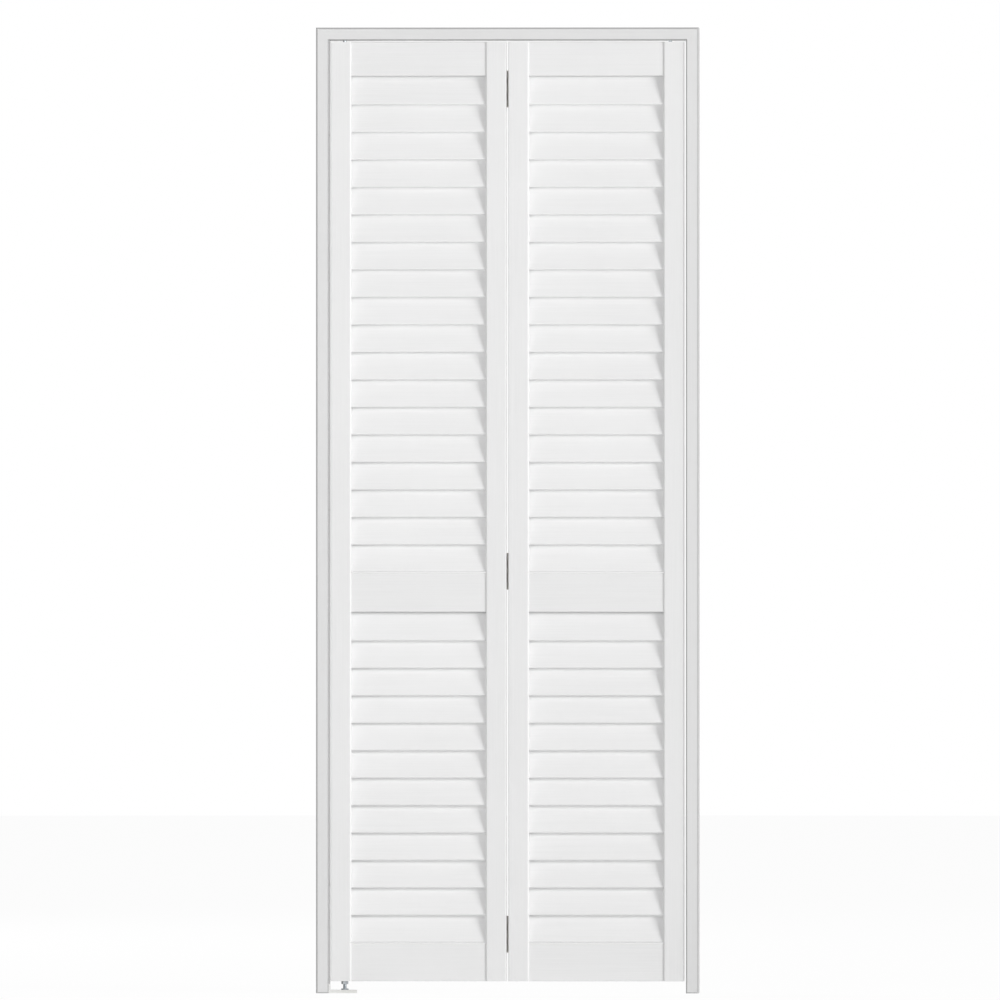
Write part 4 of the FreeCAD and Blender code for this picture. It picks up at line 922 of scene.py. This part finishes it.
profile = [(SLEEVE_BORE, 0), (SLEEVE_BORE, height), (SLEEVE_RADIUS - SOFT_EDGE, height),
           (SLEEVE_RADIUS, height - SOFT_EDGE), (SLEEVE_RADIUS, FLANGE_HEIGHT),
           (FLANGE_RADIUS, FLANGE_HEIGHT), (FLANGE_RADIUS, SOFT_EDGE), (FLANGE_RADIUS - SOFT_EDGE, 0)]
piece("bottom_pivot_flanged_sleeve", hoop(turned(profile, pin_centre + [0, 0, low.z])), nylon, "pivot_leaf",
      ["bottom_pivot_sleeve"])


# ---- Studio --------------------------------------------------------------------------------------
# A pale floor that fades to white, an even white surround, a large far lamp at the right, a weak one
# in front and one behind. The camera stands far away, a little to the right of the door's axis.

FLOOR_TONE = "#F7F7F7"
FLOOR_RADIUS = 30
FLOOR_SIDES = 96
FLOOR_GLOW = 0.95
SURROUND_LIGHT = 0.36
WHITE = (1, 1, 1, 1)
LAMP_AIM = 1.2
LENS = 900
SENSOR = 36
VIEW_WIDTH = 2131.9 * MM
VIEW_MIDDLE = (-15.6 * MM, 1051.7 * MM)
VIEW_TURN = math.radians(1.4)
VIEW_REACH = 200


def seen_directly(tree, *rays):
    """1 for the given kinds of ray, which see a backdrop as white, and 0 for those that carry its
    light."""
    path = add_node(tree, "LightPath")
    seen = path.outputs[rays[0]]
    for ray in rays[1:]:
        seen = add_node(tree, "Math", {0: seen, 1: path.outputs[ray]}, operation="MAXIMUM").outputs[0]
    return seen


floor_angle = np.linspace(0, 2 * math.pi, FLOOR_SIDES, endpoint=False)
floor_rim = FLOOR_RADIUS * np.stack([np.cos(floor_angle), np.sin(floor_angle), np.zeros(FLOOR_SIDES)], axis=1)
floor_mesh = bpy.data.meshes.new("floor")
floor_mesh.from_pydata(floor_rim.tolist(), [], [list(range(FLOOR_SIDES))])
floor = bpy.data.objects.new("floor", floor_mesh)
bpy.context.scene.collection.objects.link(floor)
floor_material, tree, shader, place = new_material("pale_studio_floor", Roughness=0.9)
shader.inputs["Base Color"].default_value = linear(FLOOR_TONE)
seen = seen_directly(tree, "Is Camera Ray", "Is Glossy Ray")
share = add_node(tree, "Math", {0: seen, 1: FLOOR_GLOW}, operation="MULTIPLY")
glow = add_node(tree, "Emission", {"Color": WHITE, "Strength": 1.0})
floor_mix = add_node(tree, "MixShader", {0: share.outputs[0], 1: shader.outputs[0], 2: glow.outputs[0]})
tree.links.new(floor_mix.outputs[0], tree.nodes["Material Output"].inputs["Surface"])
floor_mesh.materials.append(floor_material)

world = bpy.data.worlds.new("studio")
bpy.context.scene.world = world
world.use_nodes = True
tree = world.node_tree
seen = seen_directly(tree, "Is Camera Ray", "Is Glossy Ray", "Is Transmission Ray")
strength = add_node(tree, "MapRange", {"Value": seen, "To Min": SURROUND_LIGHT, "To Max": 1.0})
tree.links.new(strength.outputs["Result"], tree.nodes["Background"].inputs["Strength"])
tree.nodes["Background"].inputs["Color"].default_value = WHITE


def soft_lamp(name, place, size, power):
    """A square lamp aimed at the middle of the door: tilted by the angle whose tangent is its distance
    along the floor over its height above the aim, and turned by that of x over y."""
    lamp_data = bpy.data.lights.new(name, "AREA")
    lamp_data.shape = "SQUARE"
    lamp_data.size = size
    lamp_data.energy = power
    lamp = bpy.data.objects.new(name, lamp_data)
    bpy.context.scene.collection.objects.link(lamp)
    lamp.location = place
    x, y, fall = -place[0], -place[1], place[2] - LAMP_AIM
    lamp.rotation_euler = (math.atan2(math.hypot(x, y), fall), 0, math.atan2(-x, y))


soft_lamp("key lamp", place=(14.0, -9.1, 4.2), size=6.5, power=1790)
soft_lamp("front lamp", place=(-1.3, -3.0, 1.9), size=1.5, power=19)
soft_lamp("back lamp", place=(-6.0, 7.0, 2.6), size=4.5, power=530)

camera_data = bpy.data.cameras.new("camera")
camera_data.lens = LENS
camera_data.sensor_width = SENSOR
camera_data.clip_end = VIEW_REACH
camera = bpy.data.objects.new("camera", camera_data)
bpy.context.scene.collection.objects.link(camera)
distance = VIEW_WIDTH * LENS / SENSOR
camera.location = (VIEW_MIDDLE[0] + distance * math.sin(VIEW_TURN),
                   cad_box[0].y - distance * math.cos(VIEW_TURN), VIEW_MIDDLE[1])
camera.rotation_euler = (math.pi / 2, 0, VIEW_TURN)
bpy.context.scene.camera = camera
bpy.context.scene.view_settings.view_transform = "Standard"
